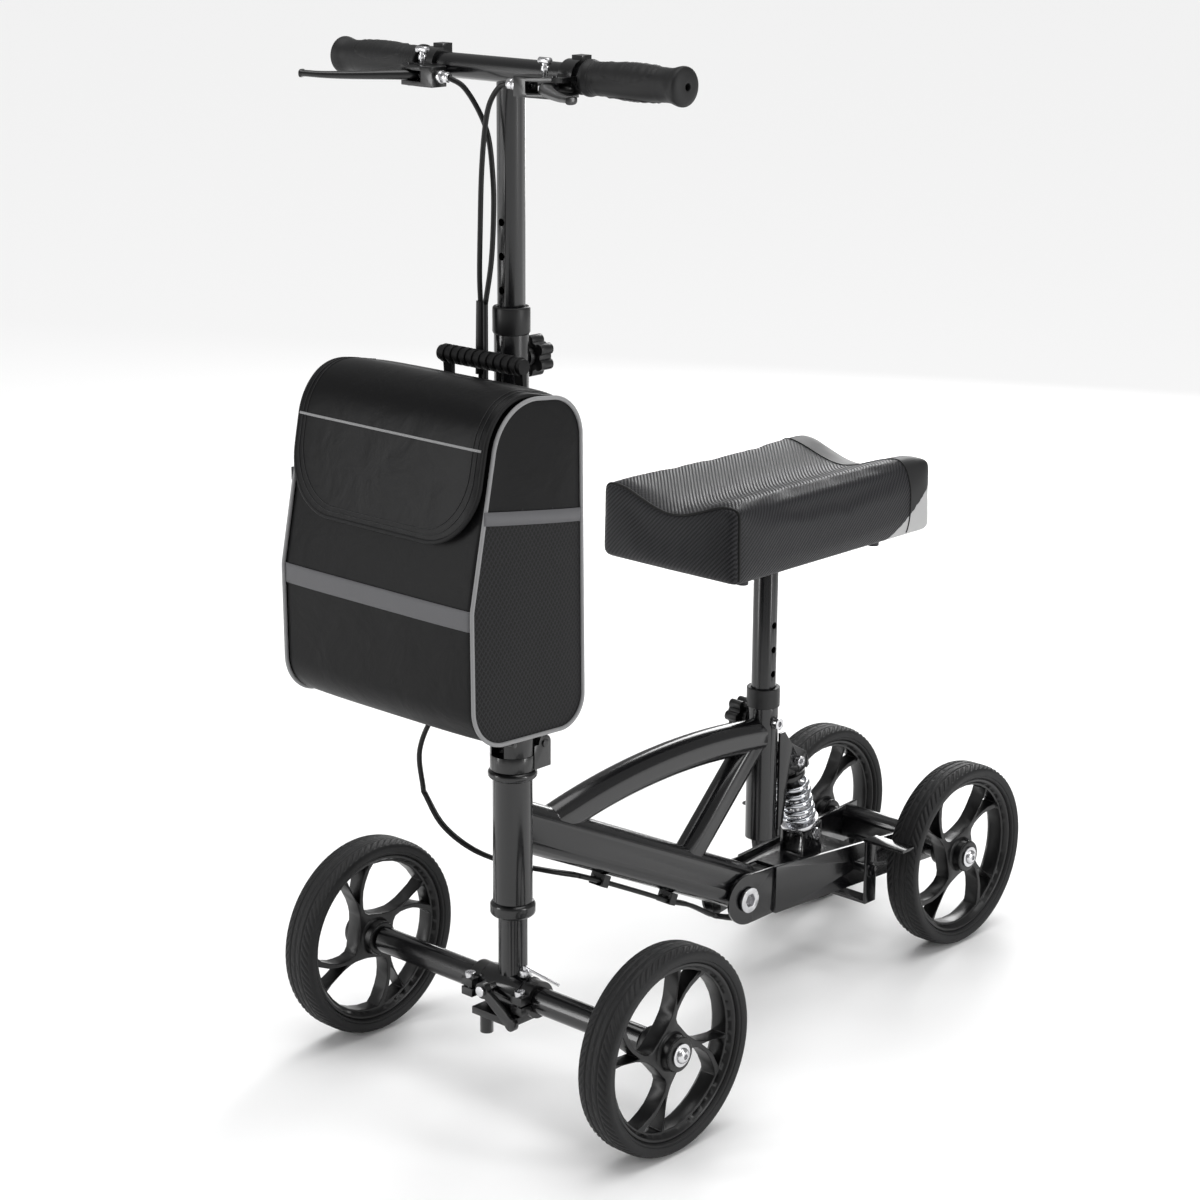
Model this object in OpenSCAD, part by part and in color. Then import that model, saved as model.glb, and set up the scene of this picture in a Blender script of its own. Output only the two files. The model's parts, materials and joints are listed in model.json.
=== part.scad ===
// Steerable knee scooter: two-axle frame with a sprung rear fork, a folding height-adjustable
// handlebar stem, a height-adjustable knee cushion, two brake levers and a front bag.
// Millimetres. +X is forward, +Y is the rider's left, +Z is up, and the tyres stand on z = 0.

/* [Wheels] */
// Outer diameter of all four tyres
wheel_d = 200; // [180:1:210]
// Width of a tyre
tyre_w = 38; // [32:1:40]
// Width of a wheel hub
hub_w = 39; // [36:1:40]
// Distance from the front axle to the rear axle
wheelbase = 592; // [580:1:600]
// Distance between the middles of the front tyres
front_track = 395; // [385:1:400]
// Distance between the middles of the rear tyres
rear_track = 188; // [186:1:196]

/* [Handlebar and stem] */
// Height of the middle of the handlebar above the floor
bar_z = 970; // [955:1:985]
// Length of the bare handlebar
bar_len = 400; // [380:1:410]
// Outer diameter of the handlebar
bar_d = 22.2; // [21:0.1:23]
// Outer diameter of the sliding upper stem tube
upper_tube_d = 25.4; // [24:0.1:26]
// Outer diameter of the lower stem tube
stem_d = 31.8; // [30:0.1:33]
// Distance between the height holes in the upper stem tube
stem_hole_pitch = 30.5; // [25:0.5:32]
// Height of the fold hinge pin
fold_z = 347; // [345:1:350]

/* [Frame] */
// Outer diameter of the head tube
head_d = 38; // [36:1:40]
// Height of the down tube's oval section
down_h = 49; // [46:1:50]
// Width of the down tube's oval section
down_w = 30; // [28:1:30]
// Height of the top tube's oval section
top_h = 36; // [32:1:38]
// Width of the top tube's oval section
top_w = 28; // [26:1:28]
// Outer diameter of the seat tube
seat_tube_d = 32; // [30:1:32]

/* [Knee cushion] */
// Length of the knee cushion
seat_len = 315; // [300:1:320]
// Width of the knee cushion
seat_w = 176; // [165:1:180]
// Height of the underside of the knee cushion
seat_z = 471; // [465:1:480]
// Thickness of the knee cushion at its side edges
seat_h = 76; // [70:1:80]
// Depth of the hollow along the top of the knee cushion
seat_dip = 17; // [10:1:20]
// Distance between the height holes in the seat post
seat_hole_pitch = 26; // [22:0.5:28]

/* [Bag] */
// Width of the bag across its side panels
bag_w = 246; // [230:1:250]
// Width of the bag's flap
flap_w = 230; // [200:1:234]
// Wall of the bag
bag_wall = 4; // [3:0.5:5]

/* [Hidden] */

$fn = 64;
nil = 0.01;
run_gap = 0.05;

// Reference places. The origin is under the middle of the object's outline.
bag_reach = 167;
front_x = (wheelbase + wheel_d / 2 - bag_reach) / 2;
rear_x = front_x - wheelbase;
axle_z = wheel_d / 2;
stem_x = front_x - 4;
seat_x = front_x - 374;
pivot_x = front_x - 330;
pivot_z = 101;

// Head tube and steerer
head_z0 = 190;
head_z1 = 314;
steerer_d = 28;
cup_low_z = 176;
cup_top_z = 323;

// Down tube: a straight oval tube from the head tube to the fork pivot
down_angle = 25.5;
down_z = 268;
down_len = 378;
tube_wall = 2;

// Top tube: a shallow arch of constant radius
arch_x = front_x - 245;
arch_z = 276;
arch_r = 812;

// Stem
stem_z0 = 366;
stem_z1 = 736;
collar_h = 25;
clamp_z = 715;
stem_holes = 5;

// Seat post
seat_tube_z0 = 154;
seat_tube_z1 = 298;
seat_collar_z1 = 318.5;
seat_clamp_z = 282;
seat_holes = 5;

// Fork
fork_angle = 6.7;
fork_y = 19.8;
fork_t = 4;
fork_len = 278;
deck_z = 118;

// Shock absorber: from the upper eye on the frame to the lower eye on the fork
eye_top = [front_x - 414, 231];
eye_low = [front_x - 443, 143];
shock_len = norm(eye_low - eye_top);
shock_tilt = atan2(eye_top[0] - eye_low[0], eye_top[1] - eye_low[1]);

// Levers
lever_y = 85;
lever_pivot = [front_x + 33, 88];
pin_spot = [front_x + 31, 75];
lever_z = 958;
lever_t = 9;

module rod_x(r, x0, x1, y, z) { translate([x0, y, z]) rotate([0, 90, 0]) cylinder(r = r, h = x1 - x0); }
module rod_y(r, y0, y1, x, z) { translate([x, y0, z]) rotate([-90, 0, 0]) cylinder(r = r, h = y1 - y0); }
module rod_z(r, z0, z1, x, y = 0) { translate([x, y, z0]) cylinder(r = r, h = z1 - z0); }
module ring_z(ro, ri, z0, z1, x, y = 0) {
    difference() {
        rod_z(ro, z0, z1, x, y);
        rod_z(ri, z0 - 1, z1 + 1, x, y);
    }
}
module ring_y(ro, ri, y0, y1, x, z) {
    difference() {
        rod_y(ro, y0, y1, x, z);
        rod_y(ri, y0 - 1, y1 + 1, x, z);
    }
}
module both_sides() {
    children();
    mirror([0, 1, 0]) children();
}

// Oval section: h tall along the first axis and w wide along the second, with round ends.
module oval(h, w) {
    square([h - w, w], center = true);
    for (s = [-1, 1]) translate([s * (h - w) / 2, 0]) circle(d = w);
}

// Hexagon socket cap: a round head with a six-sided recess, pointing along +Z.
module socket_head(d, h) {
    difference() {
        cylinder(d = d, h = h);
        translate([0, 0, h * 0.45]) cylinder(d = d * 0.5, h = h, $fn = 6);
    }
}

// Button head with a domed rim, pointing along +Z.
module button_head(d, h) {
    difference() {
        rotate_extrude() polygon([
            [0, 0], [d / 2, 0], [d / 2, h * 0.25], [d * 0.44, h * 0.62], [d * 0.32, h * 0.9], [d * 0.2, h], [0, h]
        ]);
        translate([0, 0, h * 0.4]) cylinder(d = d * 0.38, h = h, $fn = 6);
    }
}

// Star knob with round lobes, its face towards +Z, and its threaded bush below it.
module star_knob(d, h, lobes) {
    difference() {
        union() {
            cylinder(d = d * 0.74, h = h);
            for (i = [0 : lobes - 1])
                rotate(i * 360 / lobes) translate([d * 0.36, 0, 0]) cylinder(d = d * 0.28, h = h);
            translate([0, 0, -h * 0.35]) cylinder(d = d * 0.46, h = h * 0.4);
        }
        translate([0, 0, h * 0.8]) cylinder(d = d * 0.4, h = h);
    }
}

// ---- Frame ----

module down_axis() {
    translate([stem_x, 0, down_z]) rotate([0, 270 - down_angle, 0]) children();
}

module down_solid() { down_axis() linear_extrude(down_len) oval(down_h, down_w); }

module arch(h, w, a0, a1) {
    translate([arch_x, 0, arch_z - arch_r]) rotate([90, 0, 0]) rotate([0, 0, a0])
        rotate_extrude(angle = a1 - a0, $fn = 200) translate([arch_r, 0]) oval(h, w);
}

module brace_axis() { translate([front_x - 245, 0, 153]) rotate([0, -45.5, 0]) children(); }

module head_tube() {
    color("black") ring_z(head_d / 2, head_d / 2 - 2.5, head_z0, head_z1, stem_x);
}

module cup(z0, z1, lip) {
    translate([stem_x, 0, 0]) rotate_extrude() polygon([
        [steerer_d / 2 + run_gap, z0], [lip - 2.5, z0], [lip, z0 + 2.5], [lip, z1 - 2.5], [lip - 2.5, z1],
        [steerer_d / 2 + run_gap, z1]
    ]);
}

module head_bearing_cups() {
    color("dimgray") {
        cup(cup_low_z, head_z0, 21.7);
        cup(head_z1, cup_top_z, 23.5);
        ring_z(head_d / 2 - 2.5, steerer_d / 2 + run_gap, head_z0, head_z0 + 12, stem_x);
        ring_z(head_d / 2 - 2.5, steerer_d / 2 + run_gap, head_z1 - 12, head_z1, stem_x);
    }
}

module down_tube() {
    color("black") difference() {
        down_solid();
        down_axis() translate([0, 0, -1]) linear_extrude(down_len + 2)
            oval(down_h - 2 * tube_wall, down_w - 2 * tube_wall);
        rod_z(head_d / 2, head_z0 - 40, head_z1 + 40, stem_x);
        rod_y(10, -40, 40, pivot_x, pivot_z);
    }
}

module top_tube() {
    color("black") difference() {
        arch(top_h, top_w, 75.7, 99.4);
        arch(top_h - 2 * tube_wall, top_w - 2 * tube_wall, 75, 101);
        down_solid();
        rod_z(seat_tube_d / 2, 200, 350, seat_x);
    }
}

module brace_tube() {
    color("black") difference() {
        brace_axis() linear_extrude(170) oval(34, 24);
        brace_axis() translate([0, 0, -1]) linear_extrude(190) oval(30, 20);
        down_solid();
        arch(top_h, top_w, 60, 110);
        rod_z(seat_tube_d / 2, 100, 350, seat_x);
        translate([seat_x - 100, -20, 100]) cube([100, 40, 300]);
    }
}

module seat_tube() {
    color("black") difference() {
        rod_z(seat_tube_d / 2, seat_tube_z0, seat_tube_z1, seat_x);
        rod_z(upper_tube_d / 2 + 0.1, seat_tube_z0 - 1, seat_tube_z1 + 1, seat_x);
        rod_y(4, -30, 30, seat_x, seat_clamp_z);
    }
}

module seat_tube_collar() {
    color("dimgray") difference() {
        rod_z(17.3, seat_tube_z1, seat_collar_z1, seat_x);
        rod_z(upper_tube_d / 2 + 0.1, seat_tube_z1 - 1, seat_collar_z1 + 1, seat_x);
    }
}

// Two ears behind the seat tube that hold the shock absorber's upper eye.
module shock_bracket() {
    ear = [
        [seat_x - 10, 268], [seat_x - 18, 268], [seat_x - 30, 252], [seat_x - 54, 238],
        [seat_x - 60, 222], [seat_x - 48, 214], [seat_x - 26, 226], [seat_x - 18, 168], [seat_x - 10, 162]
    ];
    color("black") both_sides() difference() {
        translate([0, 16, 0]) rotate([90, 0, 0]) linear_extrude(3) polygon(ear);
        rod_z(seat_tube_d / 2, 100, 350, seat_x);
        rod_y(4, 0, 40, eye_top[0], eye_top[1]);
        along_shock() translate([0, 0, shock_len - 24]) cylinder(r = 19, h = 9.5);
    }
}

// Fork pivot: a thick bush through the end of the down tube, with a flanged cap on each side.
module pivot_axle() {
    cap_y = fork_y + 3;
    color("silver") difference() {
        union() {
            rod_y(10, -cap_y, cap_y, pivot_x, pivot_z);
            rod_y(13.5, cap_y, cap_y + 2.5, pivot_x, pivot_z);
            rod_y(13.5, -cap_y - 2.5, -cap_y, pivot_x, pivot_z);
        }
        both_sides() translate([pivot_x, cap_y - 4, pivot_z]) rotate([-90, 0, 0]) cylinder(r = 7.5, h = 10, $fn = 6);
    }
}

module on_down_tube(s) { down_axis() translate([-down_h / 2, 0, s]) children(); }

module cable_clips() {
    color("black") for (s = [150, 262]) on_down_tube(s) difference() {
        translate([-12.4, -9, -5]) cube([12.4, 18, 10]);
        for (y = [-4, 4]) translate([-8.4, y, -6]) cylinder(r = 3.3, h = 12);
    }
}

module frame_bolts() {
    color("silver") {
        rod_y(3.9, -28, -upper_tube_d / 2 - 0.4, seat_x, seat_clamp_z);
        rod_y(3.9, upper_tube_d / 2 + 0.4, 17, seat_x, seat_clamp_z);
        translate([seat_x, 16, seat_clamp_z]) rotate([-90, 0, 0]) socket_head(12, 7);
        rod_y(3.9, -17, 17, eye_top[0], eye_top[1]);
        both_sides() translate([eye_top[0], 16, eye_top[1]]) rotate([-90, 0, 0]) socket_head(11, 5);
    }
}

// ---- Cables ----

function mix(a, b, t) = a * (1 - t) + b * t;
function spline(p, i, t) = let(
    a = p[max(i - 1, 0)], b = p[i], c = p[i + 1], d = p[min(i + 2, len(p) - 1)]
) 0.5 * (2 * b + (c - a) * t + (2 * a - 5 * b + 4 * c - d) * t * t + (3 * b - a - 3 * c + d) * t * t * t);
function route(p, steps) = [
    for (i = [0 : len(p) - 2]) for (k = [0 : steps - 1]) spline(p, i, k / steps),
    p[len(p) - 1]
];
function unit(v) = v / norm(v);
function tangent(p, i) = unit(p[min(i + 1, len(p) - 1)] - p[max(i - 1, 0)]);
function side_of(p, i, ref) = unit(cross(tangent(p, i), ref));

module swept_cord(p, r, sides, ref) {
    n = len(p);
    rings = [
        for (i = [0 : n - 1]) let(s = side_of(p, i, ref), u = cross(s, tangent(p, i)))
            for (k = [0 : sides - 1]) p[i] + r * (cos(k * 360 / sides) * s + sin(k * 360 / sides) * u)
    ];
    walls = [
        for (i = [0 : n - 2]) for (k = [0 : sides - 1]) let(m = (k + 1) % sides)
            [i * sides + k, (i + 1) * sides + k, (i + 1) * sides + m, i * sides + m]
    ];
    start = [[for (k = [0 : sides - 1]) k]];
    finish = [[for (k = [sides - 1 : -1 : 0]) (n - 1) * sides + k]];
    polyhedron(points = rings, faces = concat(start, walls, finish));
}

cable_r = 2.4;
// From each lever's adjuster down to the sleeve in front of the stem collar
upper_left_route = [
    [front_x + 36, 36, 963], [front_x + 37, 26, 959], [front_x + 36, 13, 943], [front_x + 33, 4, 918],
    [front_x + 30, -3, 880], [front_x + 26, -9, 830], [front_x + 21, -15, 790], [front_x + 18, -17, 767]
];
upper_right_route = [
    [front_x + 36, -36, 963], [front_x + 30, -24, 955], [front_x + 23, -12, 934], [front_x + 21, -3, 912],
    [front_x + 20, 1, 880], [front_x + 20, 2, 850], [front_x + 20, -1, 805], [front_x + 20, -9, 767]
];
// From below the bag, round the far side of the head tube, and along the down tube to the brake bar
lower_route = [
    [front_x + 18, -40, 400], [front_x + 28, -68, 372], [front_x + 34, -86, 330], [front_x + 26, -90, 285],
    [front_x + 8, -84, 248], [front_x - 14, -68, 222], [front_x - 36, -44, 208], [front_x - 62, -16, 200],
    [front_x - 92, -5, 190], [front_x - 126, -4, 174.5], [front_x - 180, -4, 148], [front_x - 230, -4, 123],
    [front_x - 261, -4, 109.5], [front_x - 300, -5, 86], [front_x - 340, -6, 72], [front_x - 400, -6, 66],
    [front_x - 440, -6, 65], [front_x - 466, -6, 65.5]
];
function beside(p, gap) = [for (q = p) q + [0, gap, 0]];

module brake_cables_upper() {
    color("black") {
        swept_cord(route(upper_left_route, 2), cable_r, 8, [1, 0, 0]);
        swept_cord(route(upper_right_route, 2), cable_r, 8, [1, 0, 0]);
    }
}

module brake_cables_lower() {
    color("black") {
        swept_cord(route(lower_route, 1), cable_r, 8, [-0.6, 0.6, 0.52]);
        swept_cord(route(beside(lower_route, 8), 1), cable_r, 8, [-0.6, 0.6, 0.52]);
    }
}

// ---- Steering column and front axle ----

// Steerer: a tube welded to the saddle that carries the front axle.
module steerer_tube() {
    color("black") difference() {
        union() {
            rod_z(steerer_d / 2, axle_z + 3, fold_z - 24, stem_x);
            rod_y(19, -26, 26, front_x, axle_z);
            rod_x(5, front_x + 14, front_x + 26.6, -6, axle_z + 6);
        }
        rod_z(steerer_d / 2 - 2.5, axle_z + 26, fold_z, stem_x);
        rod_y(13, -30, 30, front_x, axle_z);
        rod_z(2.55, axle_z + 5, axle_z + 30, front_x + 1, 21.5);
    }
}

// Fold hinge, lower half: a round seat on the steerer with two ears for the hinge pin at its rear.
module fold_base() {
    color("dimgray") {
        difference() {
            union() {
                rod_z(21.5, fold_z - 23.5, fold_z - 9, stem_x);
                both_sides() translate([stem_x - 30, 16, fold_z - 23.5]) cube([22, 5, 23.5]);
                both_sides() rod_y(8, 16, 21, stem_x - 22, fold_z);
            }
            both_sides() rod_y(4, 10, 30, stem_x - 22, fold_z);
            translate([stem_x - 50, -15.9, fold_z - 9]) cube([100, 31.8, 40]);
        }
        rod_y(4, -23, 23, stem_x - 22, fold_z);
    }
}

module axle_tube() {
    half = front_track / 2 - hub_w / 2 - 3;
    color("black") difference() {
        rod_y(13, -half, half, front_x, axle_z);
        rod_y(10.5, -half + 12, half - 12, front_x, axle_z);
        rod_y(5, -half - 1, half + 1, front_x, axle_z);
        rod_z(2.55, axle_z, axle_z + 30, front_x + 1, 21.5);
    }
}

// Two split clamps beside the saddle, the plate under it and its stop peg.
module axle_clamps() {
    color("dimgray") {
        both_sides() difference() {
            union() {
                rod_y(18, 26, 40, front_x, axle_z);
                translate([front_x + 8, 26, axle_z - 9]) cube([18, 14, 18]);
            }
            rod_y(13, 20, 50, front_x, axle_z);
            translate([front_x + 10, 25, axle_z - 1]) cube([20, 16, 2]);
            rod_z(3, axle_z - 20, axle_z + 20, front_x + 21, 33);
        }
        difference() {
            translate([front_x - 18, -26, axle_z - 25]) cube([44, 52, 7]);
            rod_y(19, -30, 30, front_x, axle_z);
        }
        rod_z(6.5, axle_z - 44, axle_z - 25, front_x + 16, -16);
    }
}

module axle_end(y_face) {
    rod_y(5, y_face - hub_w - 12, y_face + 1, 0, 0);
    ring_y(11, 5, y_face, y_face + 1.6, 0, 0);
    translate([0, y_face + 1.6, 0]) rotate([-90, 0, 0]) button_head(15, 4.4);
}

module front_axle_bolts() {
    color("silver") {
        both_sides() {
            translate([front_x, 0, axle_z]) axle_end((front_track + hub_w) / 2 + 0.4);
            rod_z(3, axle_z - 10, axle_z + 10, front_x + 21, 33);
            translate([front_x + 21, 33, axle_z + 9]) socket_head(10, 5);
        }
        rod_x(3, front_x + 26.6, front_x + 34, -6, axle_z + 6);
        rod_x(5, front_x + 33.4, front_x + 36, -6, axle_z + 6);
    }
}

// Lever that locks the steering column to the axle: it swings about X on the front of the saddle.
module axle_lock_lever() {
    color("black") translate([front_x + 27, -6, axle_z + 6]) difference() {
        rotate([90, 0, 90]) linear_extrude(6) union() {
            circle(r = 8);
            polygon([[4, -7.5], [34, -29], [41, -20], [8, 1]]);
            translate([37, -24]) circle(r = 6.5);
        }
        translate([-1, 0, 0]) rotate([0, 90, 0]) cylinder(r = 3 + run_gap, h = 20);
    }
}

// Spring pin through the saddle and the axle tube, with a ring head and a wire tail.
module axle_lock_pin() {
    color("silver") {
        rod_z(2.5, axle_z + 8, axle_z + 30, front_x + 1, 21.5);
        ring_z(6, 2.5, axle_z + 20, axle_z + 26, front_x + 1, 21.5);
        translate([front_x + 1, 21.5, axle_z + 28.5]) rotate([-97, 0, 0]) cylinder(r = 1.4, h = 44);
    }
}

// ---- Stem ----

module stem_tube() {
    color("black") difference() {
        rod_z(stem_d / 2, stem_z0, stem_z1, stem_x);
        rod_z(upper_tube_d / 2 + 0.1, stem_z0 + 6, stem_z1 + 1, stem_x);
        rod_x(4, stem_x - 30, stem_x + 30, 0, clamp_z);
    }
}

// Fold hinge, upper half: a block that turns about the pin behind the column.
module fold_yoke() {
    color("dimgray") difference() {
        union() {
            rod_z(21.5, fold_z - 8.5, stem_z0, stem_x);
            rod_z(18.5, stem_z0 - nil, stem_z0 + 10, stem_x);
            rod_y(8, -15.6, 15.6, stem_x - 22, fold_z);
            translate([stem_x - 22, -15.6, fold_z]) cube([20, 31.2, 8]);
        }
        rod_y(4 + run_gap, -30, 30, stem_x - 22, fold_z);
        both_sides() translate([stem_x - 40, 15.6, fold_z - 20]) cube([34, 20, 30]);
        rod_z(stem_d / 2, stem_z0, stem_z0 + 30, stem_x);
        translate([stem_x + 9.6, -8.3, fold_z - 10]) cube([20, 16.6, 40]);
        difference() {
            translate([stem_x - 40, -30, fold_z - 20]) cube([18, 60, 20]);
            rod_y(8, -30, 30, stem_x - 22, fold_z);
        }
    }
    color("silver") rod_y(2.5, -19, 19, stem_x + 16, fold_z + 6);
}

module stem_collar() {
    color("dimgray") translate([stem_x, 0, stem_z1]) rotate_extrude() polygon([
        [upper_tube_d / 2 + 0.1, 0], [16, 0], [17.2, 2], [17.2, collar_h - 1.5], [16.2, collar_h],
        [upper_tube_d / 2 + 0.1, collar_h]
    ]);
}

module stem_clamp_bolt() {
    color("silver") {
        rod_x(3.9, stem_x - 30, stem_x - upper_tube_d / 2 - 0.4, 0, clamp_z);
        rod_x(3.9, stem_x + upper_tube_d / 2 + 0.4, stem_x + 17, 0, clamp_z);
        translate([stem_x + 16, 0, clamp_z]) rotate([0, 90, 0]) cylinder(d = 13, h = 7, $fn = 6);
    }
}

// Tapered sleeve on one brake cable, and both cables held against the stem behind the bag.
module cable_sleeve() {
    color("black") {
        translate([front_x + 18, -17, 700]) cylinder(r1 = 5, r2 = 4, h = 66);
        rod_z(cable_r, 402, 700.1, front_x + 18, -17);
        rod_z(cable_r, 402, 766, front_x + 20, -9);
    }
}

handle_z = 717;

// Side outline of the bag, grown outwards by g: round corners, a slightly raked front and an arched top.
module bag_outline(g) {
    hull() {
        translate([front_x + 57, 432]) circle(r = 27 + g, $fn = 32);
        translate([front_x + 128, 446]) circle(r = 38 + g, $fn = 32);
        translate([front_x + 136, 530]) circle(r = 31 + g, $fn = 32);
        translate([front_x + 92, 658]) circle(r = 49 + g, $fn = 32);
        translate([front_x + 61, 681]) circle(r = 25 + g, $fn = 32);
    }
}

module bag_slab(g, y0, y1) { translate([0, y1, 0]) rotate([90, 0, 0]) linear_extrude(y1 - y0) bag_outline(g); }

module bag_body() {
    color("black") {
        difference() {
            union() {
                bag_slab(0, -bag_w / 2, bag_w / 2);
                flap_shell(-10, 60.9, 670);
            }
            bag_slab(-bag_wall, -bag_w / 2 + bag_wall, bag_w / 2 - bag_wall);
            translate([front_x + 62, -bag_w / 2 + bag_wall, 655]) cube([140, bag_w - 2 * bag_wall, 80]);
        }
    }
}

// Webbing: two straps from the bag's back round the stem, and the ribbed carrying handle.
module bag_webbing() {
    color("black") {
        for (strap = [[440, 29.8], [641, 34.6]]) difference() {
            union() {
                rod_z(stem_d / 2 + 2.5, strap[0], strap[0] + 28, stem_x);
                for (y = [-4, 8]) translate([stem_x + 8, y, strap[0]])
                    cube([front_x + strap[1] - stem_x - 8, 4, 28]);
            }
            rod_z(stem_d / 2 + 0.1, strap[0] - 1, strap[0] + 29, stem_x);
        }
        rod_y(7, -52, 52, front_x + 33, handle_z);
        for (i = [-5 : 5]) rod_y(8.5, i * 9 - 2.5, i * 9 + 2.5, front_x + 33, handle_z);
        both_sides() translate([front_x, 50, 0]) rotate([90, 0, 0]) linear_extrude(10) polygon([
            [28, 662], [34.6, 655], [34.6, 668], [32, 669], [31.7, 690], [34, handle_z], [28, handle_z]
        ]);
    }
}

// Layer that lies over the bag's outline between two distances behind the front axle, above z.
module flap_shell(x0, x1, z) {
    intersection() {
        difference() {
            bag_slab(3.8, -flap_w / 2, flap_w / 2);
            bag_slab(0, -flap_w, flap_w);
        }
        translate([front_x + x0, -flap_w, z]) cube([x1 - x0, 2 * flap_w, 200]);
    }
}

// Flap: it follows the bag's outline from the seam along its top edge, forward and down the front.
module bag_flap() {
    color("black") intersection() {
        difference() {
            bag_slab(3.8, -flap_w / 2, flap_w / 2);
            bag_slab(0.8, -flap_w, flap_w);
            translate([front_x, -flap_w, 300]) cube([62, 2 * flap_w, 500]);
        }
        translate([front_x + 20, 0, 0]) rotate([90, 0, 90]) linear_extrude(200) union() {
            translate([-flap_w / 2, 640]) square([flap_w, 100]);
            translate([-flap_w / 2 + 55, 586]) square([flap_w - 110, 100]);
            for (s = [-1, 1]) translate([s * (flap_w / 2 - 55), 641]) circle(r = 55);
        }
    }
}

// Fold latch: a hook lever on the front of the hinge.
module fold_latch() {
    color("black") difference() {
        union() {
            translate([stem_x + 12.5, -8, fold_z + 6]) cube([9, 16, 10]);
            translate([stem_x + 19, -8, fold_z + 4]) cube([6, 16, 42]);
            rod_y(5, -8, 8, stem_x + 22, fold_z + 46);
            rod_y(6, -8, 8, stem_x + 16, fold_z + 6);
        }
        rod_y(2.5 + run_gap, -20, 20, stem_x + 16, fold_z + 6);
        rod_z(stem_d / 2 + 3, fold_z + 12, fold_z + 80, stem_x);
    }
}

module stem_knob() {
    color("black") translate([stem_x - 22, 0, clamp_z - 3]) difference() {
        rotate([0, -90, 0]) star_knob(38, 15, 6);
        translate([-60, 0, 3]) rotate([0, 90, 0]) cylinder(r = 3.95, h = 80);
    }
}

// ---- Handlebar ----

module handlebar_tee() {
    color("black") difference() {
        union() {
            rod_y(bar_d / 2, -bar_len / 2, bar_len / 2, stem_x + 7, bar_z);
            rod_z(upper_tube_d / 2, 600, bar_z, stem_x);
        }
        rod_y(bar_d / 2 - 2, -bar_len / 2 - 1, bar_len / 2 + 1, stem_x + 7, bar_z);
        rod_z(upper_tube_d / 2 - 1.8, 599, bar_z - 12, stem_x);
        for (i = [0 : stem_holes - 1]) rod_x(3.5, stem_x, stem_x + 20, 0, clamp_z + i * stem_hole_pitch);
    }
}

// Right-hand half of a grip profile: inner flange, waist, palm swell and flared end.
module grip() {
    y0 = 100;
    y1 = 208;
    r = bar_d / 2;
    color("black") translate([stem_x + 7, 0, bar_z]) rotate([-90, 0, 0]) rotate_extrude() polygon([
        [r, y0], [15, y0], [15.5, y0 + 4], [14.6, y0 + 8], [14.8, y0 + 20], [16, y0 + 45], [15.6, y0 + 70],
        [14.4, y0 + 88], [15.4, y0 + 99], [16.6, y0 + 105], [16, y1], [2.5, y1 + 3], [2.5, y1 - 3], [r, y1 - 6]
    ]);
}

module grip_left() { grip(); }
module grip_right() { mirror([0, 1, 0]) grip(); }

// Brake lever bracket: a split clamp on the bar, an arm to the lever pivot, and the cable stop.
module lever_bracket() {
    color("dimgray") difference() {
        union() {
            rod_y(15, lever_y - 8, lever_y + 8, stem_x + 7, bar_z);
            translate([stem_x - 6, lever_y - 6, bar_z + 8]) cube([12, 12, 10]);
            for (z = [lever_z - 4.4, lever_z + lever_t + 0.4]) translate([0, 0, z]) linear_extrude(4) union() {
                polygon([
                    [stem_x + 14, 78], [front_x + 26, 50], [front_x + 44, 50], [front_x + 44, 66],
                    [front_x + 41, 92], [front_x + 33, 97], [stem_x + 14, 95]
                ]);
                translate(lever_pivot) circle(r = 8);
            }
            translate([stem_x + 12, lever_y - 8, lever_z - 4.4]) cube([8, 16, lever_t + 8.8]);
            translate([front_x + 28, 50, lever_z - 4.4]) cube([16, 14, lever_t + 8.8]);
        }
        rod_y(bar_d / 2, 0, 200, stem_x + 7, bar_z);
        rod_z(3 + run_gap, lever_z - 10, lever_z + 30, lever_pivot[0], lever_pivot[1]);
        rod_y(3.2, 40, 70, front_x + 36, 963);
        rod_z(2.55, lever_z + lever_t - 1, lever_z + 30, pin_spot[0], pin_spot[1]);
    }
    color("silver") rod_z(3, lever_z - 5.5, lever_z + lever_t + 6, lever_pivot[0], lever_pivot[1]);
}

module lever_bracket_left() { lever_bracket(); }
module lever_bracket_right() { mirror([0, 1, 0]) lever_bracket(); }

module cable_adjusters() {
    color("silver") both_sides() {
        ring_y(3.2, 2.4, 36, 62, front_x + 36, 963);
        ring_y(5.5, 3.2, 44, 49.7, front_x + 36, 963);
        ring_y(4.6, 3.2, 37, 43, front_x + 36, 963);
    }
}

// Brake lever blade: it turns about Z and its end runs out ahead of the grip.
module brake_lever() {
    color("black") translate([0, 0, lever_z]) difference() {
        union() {
            linear_extrude(lever_t) union() {
                translate(lever_pivot) circle(r = 8);
                polygon([
                    lever_pivot + [0, -8], lever_pivot + [12, -10], lever_pivot + [17, -4], lever_pivot + [20, 8],
                    [front_x + 64, 110], [front_x + 82, 136], [front_x + 95, 160], [front_x + 88, 164],
                    [front_x + 74, 143], [front_x + 54, 117], lever_pivot + [5, 14], lever_pivot + [-6, 5]
                ]);
                translate([front_x + 91, 163]) circle(r = 5);
            }
        }
        translate([lever_pivot[0], lever_pivot[1], -1]) cylinder(r = 3 + run_gap, h = lever_t + 2);
    }
}

module brake_lever_left() { brake_lever(); }
module brake_lever_right() { mirror([0, 1, 0]) brake_lever(); }

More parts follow.
